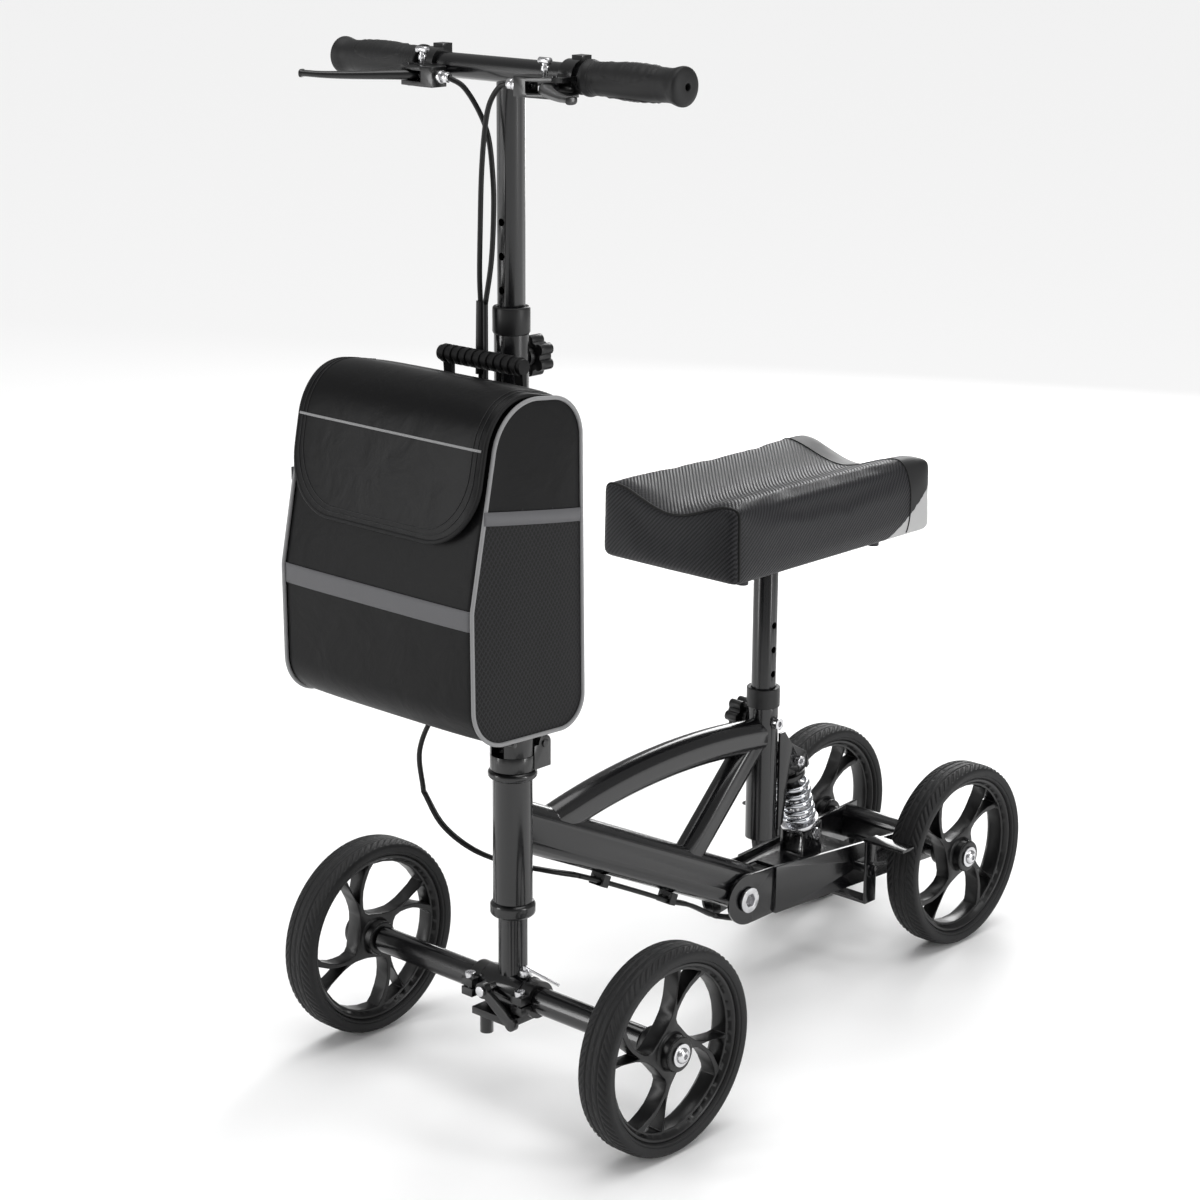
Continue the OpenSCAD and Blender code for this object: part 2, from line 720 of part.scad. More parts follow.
// Parking lock pin: a small sprung pin with a T head, pressed to hold the lever pulled.
module parking_pin() {
    color("silver") {
        rod_z(2.5, lever_z + lever_t + 0.4, 984, pin_spot[0], pin_spot[1]);
        rod_z(3.6, 976, 980, pin_spot[0], pin_spot[1]);
        rod_y(3, pin_spot[1] - 6, pin_spot[1] + 6, pin_spot[0], 984.5);
    }
}

module parking_pin_left() { parking_pin(); }
module parking_pin_right() { mirror([0, 1, 0]) parking_pin(); }

// ---- Knee cushion ----

module seat_post() {
    color("black") difference() {
        rod_z(upper_tube_d / 2, 238, seat_z - 5, seat_x);
        rod_z(upper_tube_d / 2 - 1.8, 237, seat_z - 8, seat_x);
        for (i = [0 : seat_holes - 1]) rod_y(3.5, 0, 20, seat_x, seat_clamp_z + i * seat_hole_pitch);
    }
}

module seat_plate() {
    color("black") {
        difference() {
            translate([front_x - 500, -68, seat_z - 5]) cube([250, 136, 4.5]);
            for (x = [-480, -270]) both_sides() rod_z(3.2, seat_z - 10, seat_z + 5, front_x + x, 55);
        }
        ring_z(20, upper_tube_d / 2, seat_z - 17, seat_z - 5, seat_x);
    }
}

module seat_bolts() {
    color("dimgray") {
        for (x = [-480, -270]) both_sides() {
            rod_z(3.1, seat_z - 9, seat_z - 0.5, front_x + x, 55);
            rod_z(6, seat_z - 12, seat_z - 5, front_x + x, 55);
        }
    }
}

// Cushion section across Y: a hollow top between two rounded edges, as points round the outline.
function cushion_top(y) = seat_z + seat_h - seat_dip * (0.5 + 0.5 * cos(180 * min(1, abs(y) / (seat_w / 2 - 16))));
edge_r = 10;
cushion_section = concat(
    [[-seat_w / 2 + 3, seat_z], [-seat_w / 2, seat_z + 3]],
    [for (a = [0 : 15 : 90]) [-seat_w / 2 + edge_r - edge_r * cos(a), seat_z + seat_h - edge_r + edge_r * sin(a)]],
    [for (y = [-seat_w / 2 + 16 : 8 : seat_w / 2 - 16]) [y, cushion_top(y)]],
    [for (a = [90 : -15 : 0]) [seat_w / 2 - edge_r + edge_r * cos(a), seat_z + seat_h - edge_r + edge_r * sin(a)]],
    [[seat_w / 2, seat_z + 3], [seat_w / 2 - 3, seat_z]]
);

module knee_cushion() {
    color("dimgray") translate([front_x - 220 - seat_len, 0, 0])
        rotate([90, 0, 90]) linear_extrude(seat_len) polygon(cushion_section);
}

module seat_knob() {
    color("black") translate([seat_x, -21.6, seat_clamp_z]) difference() {
        rotate([90, 0, 0]) star_knob(36, 15, 6);
        translate([0, -60, 0]) rotate([-90, 0, 0]) cylinder(r = 3.95, h = 80);
    }
}

// ---- Fork ----

// Side plate of the fork, standing on its own plane: round at the pivot and tapering to the rear.
module fork_plate() {
    difference() {
        union() {
            circle(r = 27);
            polygon([[0, 27], [-fork_len, 19], [-fork_len, -21], [-6, -26.5], [0, -27]]);
        }
    }
}

module fork_side() {
    translate([pivot_x, fork_y, pivot_z]) rotate([0, 0, -fork_angle]) translate([0, fork_t / 2, 0])
        rotate([90, 0, 0]) linear_extrude(fork_t) fork_plate();
}

module swingarm() {
    front_y = fork_y + 3.0;
    rear_y = fork_y + 168 * tan(fork_angle);
    color("black") difference() {
        union() {
            both_sides() fork_side();
            translate([0, 0, deck_z - 4]) linear_extrude(4) polygon([
                [pivot_x - 30, front_y], [pivot_x - 168, rear_y], [pivot_x - 168, -rear_y], [pivot_x - 30, -front_y]
            ]);
            both_sides() difference() {
                translate([eye_low[0] - 15, 12.5, deck_z - 1]) cube([30, 3.5, 36]);
                rod_y(4, 0, 30, eye_low[0], eye_low[1]);
                along_shock() translate([-40, -40, 7.4]) cube([80, 80, 40]);
            }
            translate([eye_low[0] - 15, -16, deck_z - 1]) cube([30, 32, 3.5]);
            both_sides() {
                rod_y(5, 40, 57.5, front_x - 488, axle_z);
                rod_y(3, 50, 64, front_x - 488, axle_z);
                rod_y(5.5, 62.4, 65, front_x - 488, axle_z);
            }
        }
        rod_y(10 + run_gap, -60, 60, pivot_x, pivot_z);
        both_sides() translate([pivot_x - 40, 22.75, pivot_z - 40]) cube([80, 10, 80]);
        both_sides() translate([pivot_x - 60, 0, pivot_z - 40]) cube([100, 16.2, 80]);
    }
}

// Cross beam at the rear of the fork, with a boss at each end for the wheel axle.
module rear_beam() {
    color("black") difference() {
        union() {
            translate([0, 50, 0]) rotate([90, 0, 0]) linear_extrude(100) translate([rear_x + 5, 102])
                rotate(90) oval(38, 24);
            both_sides() rod_y(11, 48, rear_track / 2 - hub_w / 2 - 0.6, rear_x, axle_z);
        }
        rod_y(5, -100, 100, rear_x, axle_z);
        both_sides() fork_side();
    }
}

module rear_axle_bolts() {
    color("silver") {
        both_sides() {
            translate([rear_x, 0, axle_z]) axle_end((rear_track + hub_w) / 2 + 0.4);
            translate([eye_low[0], 16, eye_low[1]]) rotate([-90, 0, 0]) socket_head(13, 6);
        }
        rod_y(3.9, -17, 17, eye_low[0], eye_low[1]);
    }
}

// Local frame of the shock absorber: +Z runs from the lower eye to the upper eye.
module along_shock() { translate([eye_low[0], 0, eye_low[1]]) rotate([0, shock_tilt, 0]) children(); }

module eye(w) {
    rotate([90, 0, 0]) difference() {
        translate([0, 0, -w / 2]) cylinder(r = 8, h = w);
        translate([0, 0, -w]) cylinder(r = 3.9 + run_gap, h = 2 * w);
    }
}

module shock_body() {
    color("dimgray") along_shock() translate([0, 0, shock_len]) {
        eye(24);
        difference() {
            union() {
                translate([0, 0, -18]) cylinder(r = 10, h = 12);
                translate([0, 0, -22]) cylinder(r = 17, h = 5);
                translate([0, 0, -52]) cylinder(r = 9, h = 32);
            }
            translate([0, 0, -60]) cylinder(r = 4 + run_gap, h = 44);
            rotate([90, 0, 0]) translate([0, 0, -20]) cylinder(r = 8, h = 40);
        }
    }
}

module shock_rod() {
    color("silver") along_shock() {
        difference() {
            union() {
                eye_lug();
                translate([0, 0, 9.5]) cylinder(r = 20.5, h = 4);
                cylinder(r = 4, h = 56);
            }
            rotate([90, 0, 0]) translate([0, 0, -20]) cylinder(r = 4.4, h = 40);
        }
    }
}

module eye_lug() {
    rotate([90, 0, 0]) translate([0, 0, -11]) cylinder(r = 8, h = 22);
    translate([0, 0, 2]) cylinder(r = 9, h = 9);
}

// Coil spring between the two seats of the shock absorber.
module shock_spring() {
    turns = 5;
    steps = 12;
    z0 = 17;
    z1 = shock_len - 26;
    coil = [
        for (i = [0 : turns * steps]) let(a = i * 360 / steps)
            [16.5 * cos(a), 16.5 * sin(a), mix(z0, z1, i / (turns * steps))]
    ];
    color("silver") along_shock() swept_cord(coil, 3, 8, [0, 0, 1]);
}

// Brake bar: a bent strap under the fork whose two tabs press on the rear tyres.
module brake_bar() {
    x = front_x - 488;
    leg_y = 58;
    color("black") difference() {
        union() {
            both_sides() {
                translate([x - 9, leg_y, 63]) cube([18, 3, 74]);
                translate([x - 8, leg_y, 134]) cube([19, 52, 3]);
                rod_y(8, leg_y - 0.2, leg_y + 4, x, axle_z);
            }
            translate([x - 9, -leg_y - 3, 63]) cube([18, 2 * leg_y + 6, 3]);
        }
        both_sides() rod_y(3 + run_gap, 40, 70, x, axle_z);
    }
}

// ---- Wheels ----

spokes = 4;

web_h = 17;
rim_in = 77;
rim_out = 85;
// Windows of one quarter, as [angle, radius] round the hub: a large one and a small three-sided one.
big_window = concat(
    [for (a = [84 : 10 : 144]) [a, rim_in]],
    [
        [148, 72], [154, 62], [159, 54], [163, 46], [167, 38], [168, 31], [162, 26.5], [151, 24.3],
        [139, 23], [127, 22.8], [114, 24], [104, 26.5], [96, 30], [90, 34], [86, 40], [83.5, 49], [83, 60], [83, 69]
    ]
);
small_window = concat(
    [for (a = [151 : 5 : 171]) [a, rim_in]],
    [[172, 60], [171.5, 50], [170.5, 44], [167.5, 48], [163.5, 55], [158.5, 64], [154, 71]]
);
function around(p) = [for (q = p) [q[1] * cos(q[0]), q[1] * sin(q[0])]];

module rim(phase) {
    color("black") rotate([-90, 0, 0]) difference() {
        union() {
            translate([0, 0, -web_h / 2]) cylinder(r = 79, h = web_h);
            rotate_extrude() polygon([
                [0, -hub_w / 2], [16, -hub_w / 2], [17, 1 - hub_w / 2], [17.5, -web_h / 2 - 2], [20, -web_h / 2 + 1],
                [20, web_h / 2 - 1], [17.5, web_h / 2 + 2], [17, hub_w / 2 - 1], [16, hub_w / 2], [0, hub_w / 2]
            ]);
            rotate_extrude() polygon([
                [78, -8], [79, -9], [81.5, -13], [82.5, -14], [rim_out, -14], [rim_out, 14], [82.5, 14], [81.5, 13],
                [79, 9], [78, 8]
            ]);
        }
        for (i = [0 : spokes - 1]) rotate(i * 360 / spokes + phase) translate([0, 0, -20]) linear_extrude(40) {
            polygon(around(big_window));
            polygon(around(small_window));
        }
        translate([0, 0, -hub_w]) cylinder(r = 5 + run_gap, h = 2 * hub_w);
    }
}

module tyre() {
    r = wheel_d / 2;
    h = tyre_w / 2;
    color("dimgray") rotate([-90, 0, 0]) difference() {
        rotate_extrude($fn = 96) polygon([
            [rim_out, -14], [87, -h + 2], [90, -h + 0.4], [r - 7, -h], [r - 3.4, -h + 2], [r - 1.2, -h + 5.5],
            [r, -h + 10], [r, h - 10], [r - 1.2, h - 5.5], [r - 3.4, h - 2], [r - 7, h], [90, h - 0.4],
            [87, h - 2], [rim_out, 14]
        ]);
        for (y = [-6, 0, 6]) translate([0, 0, y - 0.8]) difference() {
            cylinder(r = r + 1, h = 1.6);
            translate([0, 0, -1]) cylinder(r = r - 1.2, h = 4);
        }
    }
}

module at_wheel(x, y) { translate([x, y, axle_z]) children(); }

module front_left_tyre() { at_wheel(front_x, front_track / 2) tyre(); }
module front_right_tyre() { at_wheel(front_x, -front_track / 2) tyre(); }
module front_left_rim() { at_wheel(front_x, front_track / 2) rim(0); }
module front_right_rim() { at_wheel(front_x, -front_track / 2) rim(-53); }
module rear_left_tyre() { at_wheel(rear_x, rear_track / 2) tyre(); }
module rear_left_rim() { at_wheel(rear_x, rear_track / 2) rim(-28); }
module rear_right_tyre() { at_wheel(rear_x, -rear_track / 2) tyre(); }
module rear_right_rim() { at_wheel(rear_x, -rear_track / 2) rim(-20); }

// ---- Drawing ----

head_tube();
head_bearing_cups();
down_tube();
top_tube();
brace_tube();
seat_tube();
seat_tube_collar();
shock_bracket();
pivot_axle();
cable_clips();
brake_cables_lower();
frame_bolts();
steerer_tube();
fold_base();
axle_tube();
axle_clamps();
front_axle_bolts();
axle_lock_lever();
axle_lock_pin();
stem_tube();
fold_yoke();
stem_collar();
stem_clamp_bolt();
cable_sleeve();
bag_body();
bag_webbing();
fold_latch();
stem_knob();
bag_flap();
handlebar_tee();
grip_left();
grip_right();
lever_bracket_left();
lever_bracket_right();
cable_adjusters();
brake_cables_upper();
brake_lever_left();
brake_lever_right();
parking_pin_left();
parking_pin_right();
seat_post();
seat_plate();
seat_bolts();
knee_cushion();
seat_knob();
swingarm();
rear_beam();
rear_axle_bolts();
shock_body();
shock_rod();
shock_spring();
brake_bar();
front_left_tyre();
front_left_rim();
front_right_tyre();
front_right_rim();
rear_left_tyre();
rear_left_rim();
rear_right_tyre();
rear_right_rim();
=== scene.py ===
"""Looks of the knee scooter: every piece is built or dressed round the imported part, in metres."""

import json
import logging
import math
from dataclasses import dataclass
from enum import Enum
from typing import Any, Iterable, Sequence

import bmesh
import bpy
import numpy as np
from mathutils import Matrix, Vector


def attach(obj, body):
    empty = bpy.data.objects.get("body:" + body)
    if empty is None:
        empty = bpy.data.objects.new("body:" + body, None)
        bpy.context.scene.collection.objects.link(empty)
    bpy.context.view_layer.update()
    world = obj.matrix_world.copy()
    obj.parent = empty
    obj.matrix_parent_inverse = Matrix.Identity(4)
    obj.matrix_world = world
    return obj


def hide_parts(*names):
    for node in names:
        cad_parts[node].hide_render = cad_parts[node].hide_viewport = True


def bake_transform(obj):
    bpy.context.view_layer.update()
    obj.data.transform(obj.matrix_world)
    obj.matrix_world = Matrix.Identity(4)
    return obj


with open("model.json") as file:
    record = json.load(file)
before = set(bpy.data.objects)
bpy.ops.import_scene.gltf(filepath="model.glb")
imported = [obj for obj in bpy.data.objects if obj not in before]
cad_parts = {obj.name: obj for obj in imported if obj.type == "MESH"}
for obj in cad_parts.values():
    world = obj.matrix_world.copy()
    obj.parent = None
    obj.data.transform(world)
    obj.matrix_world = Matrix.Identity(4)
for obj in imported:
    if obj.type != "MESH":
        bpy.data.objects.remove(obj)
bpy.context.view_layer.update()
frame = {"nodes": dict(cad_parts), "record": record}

logging.basicConfig(level=logging.INFO, format="%(levelname)s %(name)s: %(message)s")
log = logging.getLogger("knee_scooter")

FRONT = 0.2625
"""X of the front axle, in metres."""


def at(x: float, y: float, z: float) -> np.ndarray:
    """Place a point given from the floor under the front axle.

    Args:
        x: millimetres ahead of the front axle.
        y: millimetres to the rider's left.
        z: millimetres above the floor.

    Returns:
        The point in the part's frame, in metres.
    """
    return np.array([FRONT + x / 1000, y / 1000, z / 1000])


class Body(str, Enum):
    """Rigid bodies of the part."""

    FRAME = "frame"
    STEERER = "steerer"
    STEM = "stem"
    FLAP = "flap"
    HANDLEBAR = "handlebar"
    LEVER_LEFT = "lever_left"
    LEVER_RIGHT = "lever_right"
    SEAT = "seat"
    FORK = "fork"
    SHOCK_UPPER = "shock_upper"
    SHOCK_LOWER = "shock_lower"


# ---------------------------------------------------------------- materials


def srgb(code: str) -> tuple[float, float, float, float]:
    """Convert an sRGB hex colour to linear RGBA.

    Args:
        code: six hexadecimal digits.

    Returns:
        Linear red, green and blue, and an alpha of one.
    """
    channels = [int(code[i : i + 2], 16) / 255 for i in (0, 2, 4)]
    linear = [c / 12.92 if c <= 0.04045 else ((c + 0.055) / 1.055) ** 2.4 for c in channels]
    return (linear[0], linear[1], linear[2], 1.0)


@dataclass(frozen=True)
class Finish:
    """A surface finish, with its values as they would be measured.

    Attributes:
        name: the real material or process.
        colour: sRGB hex colour.
        roughness: microfacet roughness.
        metallic: one for bare metal.
        ior: index of refraction.
        coat: strength of a clear top coat.
        grain_mm: size of the surface's grain, or zero for none.
        grain_depth_mm: depth of that grain.
        uneven: how far the roughness wanders over the grain.
        shine: specular level; fibres and soft rubber scatter much of it away.
    """

    name: str
    colour: str
    roughness: float
    metallic: float = 0.0
    ior: float = 1.5
    coat: float = 0.0
    grain_mm: float = 0.0
    grain_depth_mm: float = 0.0
    uneven: float = 0.0
    shine: float = 0.5


class Paint:
    """Finishes used on the object."""

    POWDER = Finish("gloss_black_powder_coat", "08080a", 0.22, coat=0.3, grain_mm=3.0, grain_depth_mm=0.02)
    TUBE = Finish("satin_black_anodised_tube", "0b0b0d", 0.26, coat=0.2, grain_mm=2.5, grain_depth_mm=0.01)
    ZINC = Finish("bright_zinc_plated_steel", "d2d2d4", 0.24, metallic=1.0, grain_mm=1.5, grain_depth_mm=0.01,
                  uneven=0.12)
    SPRING = Finish("chromed_spring_steel", "c4c6ca", 0.14, metallic=1.0)
    BLACK_ZINC = Finish("black_oxide_steel", "39393b", 0.38, metallic=1.0, grain_mm=1.5, grain_depth_mm=0.01)
    MOULDED = Finish("moulded_black_nylon", "0d0d0e", 0.42, grain_mm=0.8, grain_depth_mm=0.015, shine=0.4)
    RIM = Finish("moulded_black_polypropylene", "0a0a0b", 0.34, grain_mm=1.2, grain_depth_mm=0.012,
                 uneven=0.06, shine=0.4)
    TYRE = Finish("black_polyurethane_tyre", "141415", 0.6, grain_mm=1.6, grain_depth_mm=0.03,
                  uneven=0.1, shine=0.35)
    GRIP = Finish("black_thermoplastic_rubber", "121213", 0.55, grain_mm=0.9, grain_depth_mm=0.02, shine=0.35)
    CABLE = Finish("pvc_cable_sheath", "090909", 0.42, shine=0.3)
    ALLOY = Finish("black_painted_alloy", "0a0a0b", 0.28, coat=0.25, grain_mm=2.0, grain_depth_mm=0.01)
    PIPING = Finish("light_grey_piping", "858586", 0.6, grain_mm=1.0, grain_depth_mm=0.03)
    BINDING = Finish("nylon_binding_tape", "0b0b0c", 0.6, grain_mm=0.9, grain_depth_mm=0.04, shine=0.25)
    THREAD = Finish("polyester_thread", "1d1d1e", 0.6, shine=0.3)
    REAR_BAND = Finish("smooth_dark_vinyl", "19191a", 0.55, grain_mm=0.8, grain_depth_mm=0.02, shine=0.35)
    CORNER = Finish("light_grey_vinyl", "a9a9a9", 0.55, grain_mm=0.7, grain_depth_mm=0.04)
    SEAM = Finish("black_seam_cord", "080808", 0.6, shine=0.3)
    FLOOR = Finish("pale_studio_floor", "f6f6f6", 0.9)


def add_node(tree: bpy.types.NodeTree, kind: str, values: dict[Any, Any] | None = None,
             links: dict[Any, bpy.types.NodeSocket] | None = None, **settings: Any) -> bpy.types.Node:
    """Add one shader node with its settings, socket values and incoming links.

    Args:
        tree: the node tree.
        kind: the node's type name.
        values: socket name or index to a fixed value.
        links: socket name or index to the output that feeds it.
        settings: attributes of the node itself.

    Returns:
        The new node.
    """
    node = tree.nodes.new(kind)
    for key, value in settings.items():
        setattr(node, key, value)
    for key, value in (values or {}).items():
        node.inputs[key].default_value = value
    for key, output in (links or {}).items():
        tree.links.new(output, node.inputs[key])
    return node


class MaterialShop:
    """Makes each procedural material once and hands it out again."""

    def __init__(self) -> None:
        """Start with no materials made."""
        self.made: dict[str, bpy.types.Material] = {}

    def _start(self, finish: Finish) -> tuple[bpy.types.Material, bpy.types.NodeTree, bpy.types.Node]:
        """Create a material with a Principled shader carrying the finish's fixed values.

        Args:
            finish: the finish.

        Returns:
            The material, its node tree and its shader node.
        """
        material = bpy.data.materials.new(finish.name)
        material.use_nodes = True
        tree = material.node_tree
        tree.nodes.clear()
        shader = add_node(tree, "ShaderNodeBsdfPrincipled", {
            "Base Color": srgb(finish.colour), "Roughness": finish.roughness,
            "Metallic": finish.metallic, "IOR": finish.ior,
            "Coat Weight": finish.coat, "Coat Roughness": 0.08, "Specular IOR Level": finish.shine,
        })
        add_node(tree, "ShaderNodeOutputMaterial", links={"Surface": shader.outputs["BSDF"]})
        material.diffuse_color = srgb(finish.colour)
        return material, tree, shader

    def plain(self, finish: Finish) -> bpy.types.Material:
        """A finish with fine noise grain over object coordinates.

        Args:
            finish: the finish.

        Returns:
            The material.
        """
        if finish.name in self.made:
            return self.made[finish.name]
        material, tree, shader = self._start(finish)
        if finish.grain_mm:
            place = add_node(tree, "ShaderNodeTexCoord")
            noise = add_node(tree, "ShaderNodeTexNoise", {"Scale": 1000 / finish.grain_mm, "Detail": 3.0},
                             {"Vector": place.outputs["Object"]})
            self._bump(tree, shader, noise.outputs["Fac"], 0.6, finish.grain_depth_mm)
            if finish.uneven:
                low, high = finish.roughness - finish.uneven, finish.roughness + finish.uneven
                spread = add_node(tree, "ShaderNodeMapRange", {"To Min": low, "To Max": high},
                                  {"Value": noise.outputs["Fac"]})
                tree.links.new(spread.outputs["Result"], shader.inputs["Roughness"])
        self.made[finish.name] = material
        return material

    def _bump(self, tree: bpy.types.NodeTree, shader: bpy.types.Node, height: bpy.types.NodeSocket,
              strength: float, depth_mm: float) -> None:
        """Raise the surface by a height pattern.

        Args:
            tree: the node tree.
            shader: the shader that takes the raised normal.
            height: the pattern, from zero to one.
            strength: how strongly it shows.
            depth_mm: its depth.
        """
        bump = add_node(tree, "ShaderNodeBump", {"Strength": strength, "Distance": depth_mm / 1000},
                        {"Height": height})
        tree.links.new(bump.outputs["Normal"], shader.inputs["Normal"])

    def _two_tone(self, tree: bpy.types.NodeTree, shader: bpy.types.Node, share: bpy.types.NodeSocket,
                  low: str, high: str) -> None:
        """Colour the surface between two colours by a pattern.

        Args:
            tree: the node tree.
            shader: the shader that takes the colour.
            share: the pattern, from zero to one.
            low: sRGB hex colour at zero.
            high: sRGB hex colour at one.
        """
        mix = add_node(tree, "ShaderNodeMix", {"A": srgb(low), "B": srgb(high)}, {"Factor": share},
                       data_type="RGBA")
        tree.links.new(mix.outputs["Result"], shader.inputs["Base Color"])

    def _stripes(self, tree: bpy.types.NodeTree, u: bpy.types.NodeSocket, v: bpy.types.NodeSocket,
                 du: float, dv: float) -> bpy.types.NodeSocket:
        """Smooth stripes: half plus half the sine of two pi times (du times u plus dv times v).

        Args:
            tree: the node tree.
            u: first coordinate, in metres.
            v: second coordinate, in metres.
            du: cycles per metre along u.
            dv: cycles per metre along v.

        Returns:
            A socket from zero to one.
        """
        a = add_node(tree, "ShaderNodeMath", {1: du * 2 * math.pi}, {0: u}, operation="MULTIPLY")
        b = add_node(tree, "ShaderNodeMath", {1: dv * 2 * math.pi}, {0: v, 2: a.outputs[0]},
                     operation="MULTIPLY_ADD")
        c = add_node(tree, "ShaderNodeMath", links={0: b.outputs[0]}, operation="SINE")
        d = add_node(tree, "ShaderNodeMath", {1: 0.5, 2: 0.5}, {0: c.outputs[0]}, operation="MULTIPLY_ADD")
        return d.outputs[0]

    def _cloth_uv(self, tree: bpy.types.NodeTree) -> tuple[bpy.types.NodeSocket, bpy.types.NodeSocket]:
        """Read the piece's own cloth coordinates, in metres.

        Args:
            tree: the node tree.

        Returns:
            The two coordinates.
        """
        flat = add_node(tree, "ShaderNodeUVMap", uv_map="cloth")
        split = add_node(tree, "ShaderNodeSeparateXYZ", links={"Vector": flat.outputs["UV"]})
        return split.outputs["X"], split.outputs["Y"]

    def twill(self, name: str, valley_shade: str, light: str, pitch_mm: float) -> bpy.types.Material:
        """Vinyl pressed with a diagonal twill: raised ribs at 45 degrees, cut by a fine cross rib, with
        painted shade in its valleys.

        Args:
            name: material name.
            valley_shade: colour the valleys are darkened to, as painted shade.
            light: colour on the ribs.
            pitch_mm: distance from rib to rib.

        Returns:
            The material.
        """
        if name in self.made:
            return self.made[name]
        material, tree, shader = self._start(Finish(name, light, 0.5, shine=0.25))
        u, v = self._cloth_uv(tree)
        k = 1000 / (pitch_mm * math.sqrt(2))
        ribs = self._stripes(tree, u, v, k, -k)
        fine = self._stripes(tree, u, v, k * 1.6, k * 1.6)
        weave = add_node(tree, "ShaderNodeMath", {1: 0.22, 2: 0.0}, {0: fine}, operation="MULTIPLY_ADD")
        height = add_node(tree, "ShaderNodeMath", {1: 0.78}, {0: ribs, 2: weave.outputs[0]},
                          operation="MULTIPLY_ADD")
        # The valleys are coloured darker than the ribs: painted shade in the twill's grooves.
        self._two_tone(tree, shader, height.outputs[0], valley_shade, light)
        self._bump(tree, shader, height.outputs[0], 0.9, 0.5)
        self.made[name] = material
        return material

    def woven(self, name: str, colour: str, roughness: float, thread_mm: float, depth_mm: float,
              sheen: float = 0.0) -> bpy.types.Material:
        """Plain woven cloth: crossed thread stripes with soft creasing.

        Args:
            name: material name.
            colour: sRGB hex colour.
            roughness: microfacet roughness.
            thread_mm: distance between threads.
            depth_mm: depth of the weave.
            sheen: strength of the fibres' sheen.

        Returns:
            The material.
        """
        if name in self.made:
            return self.made[name]
        material, tree, shader = self._start(Finish(name, colour, roughness, shine=0.14))
        shader.inputs["Sheen Weight"].default_value = sheen
        u, v = self._cloth_uv(tree)
        warp = self._stripes(tree, u, v, 1000 / thread_mm, 0.0)
        weft = self._stripes(tree, u, v, 0.0, 1000 / thread_mm)
        cross = add_node(tree, "ShaderNodeMath", links={0: warp, 1: weft}, operation="MULTIPLY")
        place = add_node(tree, "ShaderNodeTexCoord")
        crease = add_node(tree, "ShaderNodeTexNoise", {"Scale": 22.0, "Detail": 4.0, "Distortion": 0.6},
                          {"Vector": place.outputs["Object"]})
        fine = add_node(tree, "ShaderNodeBump", {"Strength": 0.5, "Distance": depth_mm / 1000},
                        {"Height": cross.outputs[0]})
        soft = add_node(tree, "ShaderNodeBump", {"Strength": 0.35, "Distance": 0.004},
                        {"Height": crease.outputs["Fac"], "Normal": fine.outputs["Normal"]})
        tree.links.new(soft.outputs["Normal"], shader.inputs["Normal"])
        self.made[name] = material
        return material

    def net(self, name: str, thread: str, hole_cloth_and_shade: str, pitch_mm: float) -> bpy.types.Material:
        """Pocket netting: threads on both diagonals, with the black cloth behind showing through the holes,
        darkened further as painted shade.

        Args:
            name: material name.
            thread: colour of the threads.
            hole_cloth_and_shade: colour seen through the holes, the cloth behind darkened as painted shade.
            pitch_mm: distance between parallel threads.

        Returns:
            The material.
        """
        if name in self.made:
            return self.made[name]
        material, tree, shader = self._start(Finish(name, thread, 0.55, shine=0.22))
        u, v = self._cloth_uv(tree)
        k = 1000 / (pitch_mm * math.sqrt(2))
        one = self._stripes(tree, u, v, k, k * 0.7)
        two = self._stripes(tree, u, v, k, -k * 0.7)
        top = add_node(tree, "ShaderNodeMath", links={0: one, 1: two}, operation="MAXIMUM")
        edge = add_node(tree, "ShaderNodeMapRange", {"From Min": 0.72, "From Max": 0.9},
                        {"Value": top.outputs[0]})
        # The holes take the black cloth behind the net, coloured darker as painted shade inside the pocket.
        self._two_tone(tree, shader, edge.outputs[0], hole_cloth_and_shade, thread)
        self._bump(tree, shader, edge.outputs[0], 0.7, 0.7)
        self.made[name] = material
        return material


SHOP = MaterialShop()


def reflective() -> bpy.types.Material:
    """Grey reflective tape.

    Returns:
        The material.
    """
    return SHOP.woven("grey_reflective_tape", "626264", 0.5, 1.0, 0.03)


# ---------------------------------------------------------------- mesh building


def new_mesh(name: str, points: np.ndarray, faces: np.ndarray,
             uv: np.ndarray | None = None) -> bpy.types.Object:
    """Make a mesh object at the origin from points and four-sided faces.

    Args:
        name: object name.
        points: array of n by 3 points, in metres.
        faces: array of m by 4 vertex indices, wound outwards.
        uv: n by 2 cloth coordinates in metres, or None.

    Returns:
        The object, linked to the scene and shaded smooth.
    """
    mesh = bpy.data.meshes.new(name)
    mesh.vertices.add(len(points))
    mesh.vertices.foreach_set("co", np.asarray(points, np.float32).ravel())
    mesh.loops.add(faces.size)
    mesh.loops.foreach_set("vertex_index", faces.astype(np.int32).ravel())
    mesh.polygons.add(len(faces))
    mesh.polygons.foreach_set("loop_start", np.arange(0, faces.size, 4, dtype=np.int32))
    if uv is not None:
        layer = mesh.uv_layers.new(name="cloth")
        layer.data.foreach_set("uv", uv[faces.ravel()].astype(np.float32).ravel())
    mesh.update(calc_edges=True)
    mesh.validate()
    mesh.polygons.foreach_set("use_smooth", np.ones(len(mesh.polygons), bool))
    thing = bpy.data.objects.new(name, mesh)
    bpy.context.scene.collection.objects.link(thing)
    return thing


def grid_faces(rows: int, cols: int, wrap_rows: bool = False, wrap_cols: bool = False) -> np.ndarray:
    """Indices of the quads of a grid whose points run row by row.

    Args:
        rows: number of rows.
        cols: number of columns.
        wrap_rows: join the last row to the first.
        wrap_cols: join the last column to the first.

    Returns:
        An m by 4 array.
    """
    i = np.arange(rows if wrap_rows else rows - 1)[:, None]
    j = np.arange(cols if wrap_cols else cols - 1)[None, :]
    i2, j2 = (i + 1) % rows, (j + 1) % cols
    return np.stack([i * cols + j, i * cols + j2, i2 * cols + j2, i2 * cols + j], -1).reshape(-1, 4)


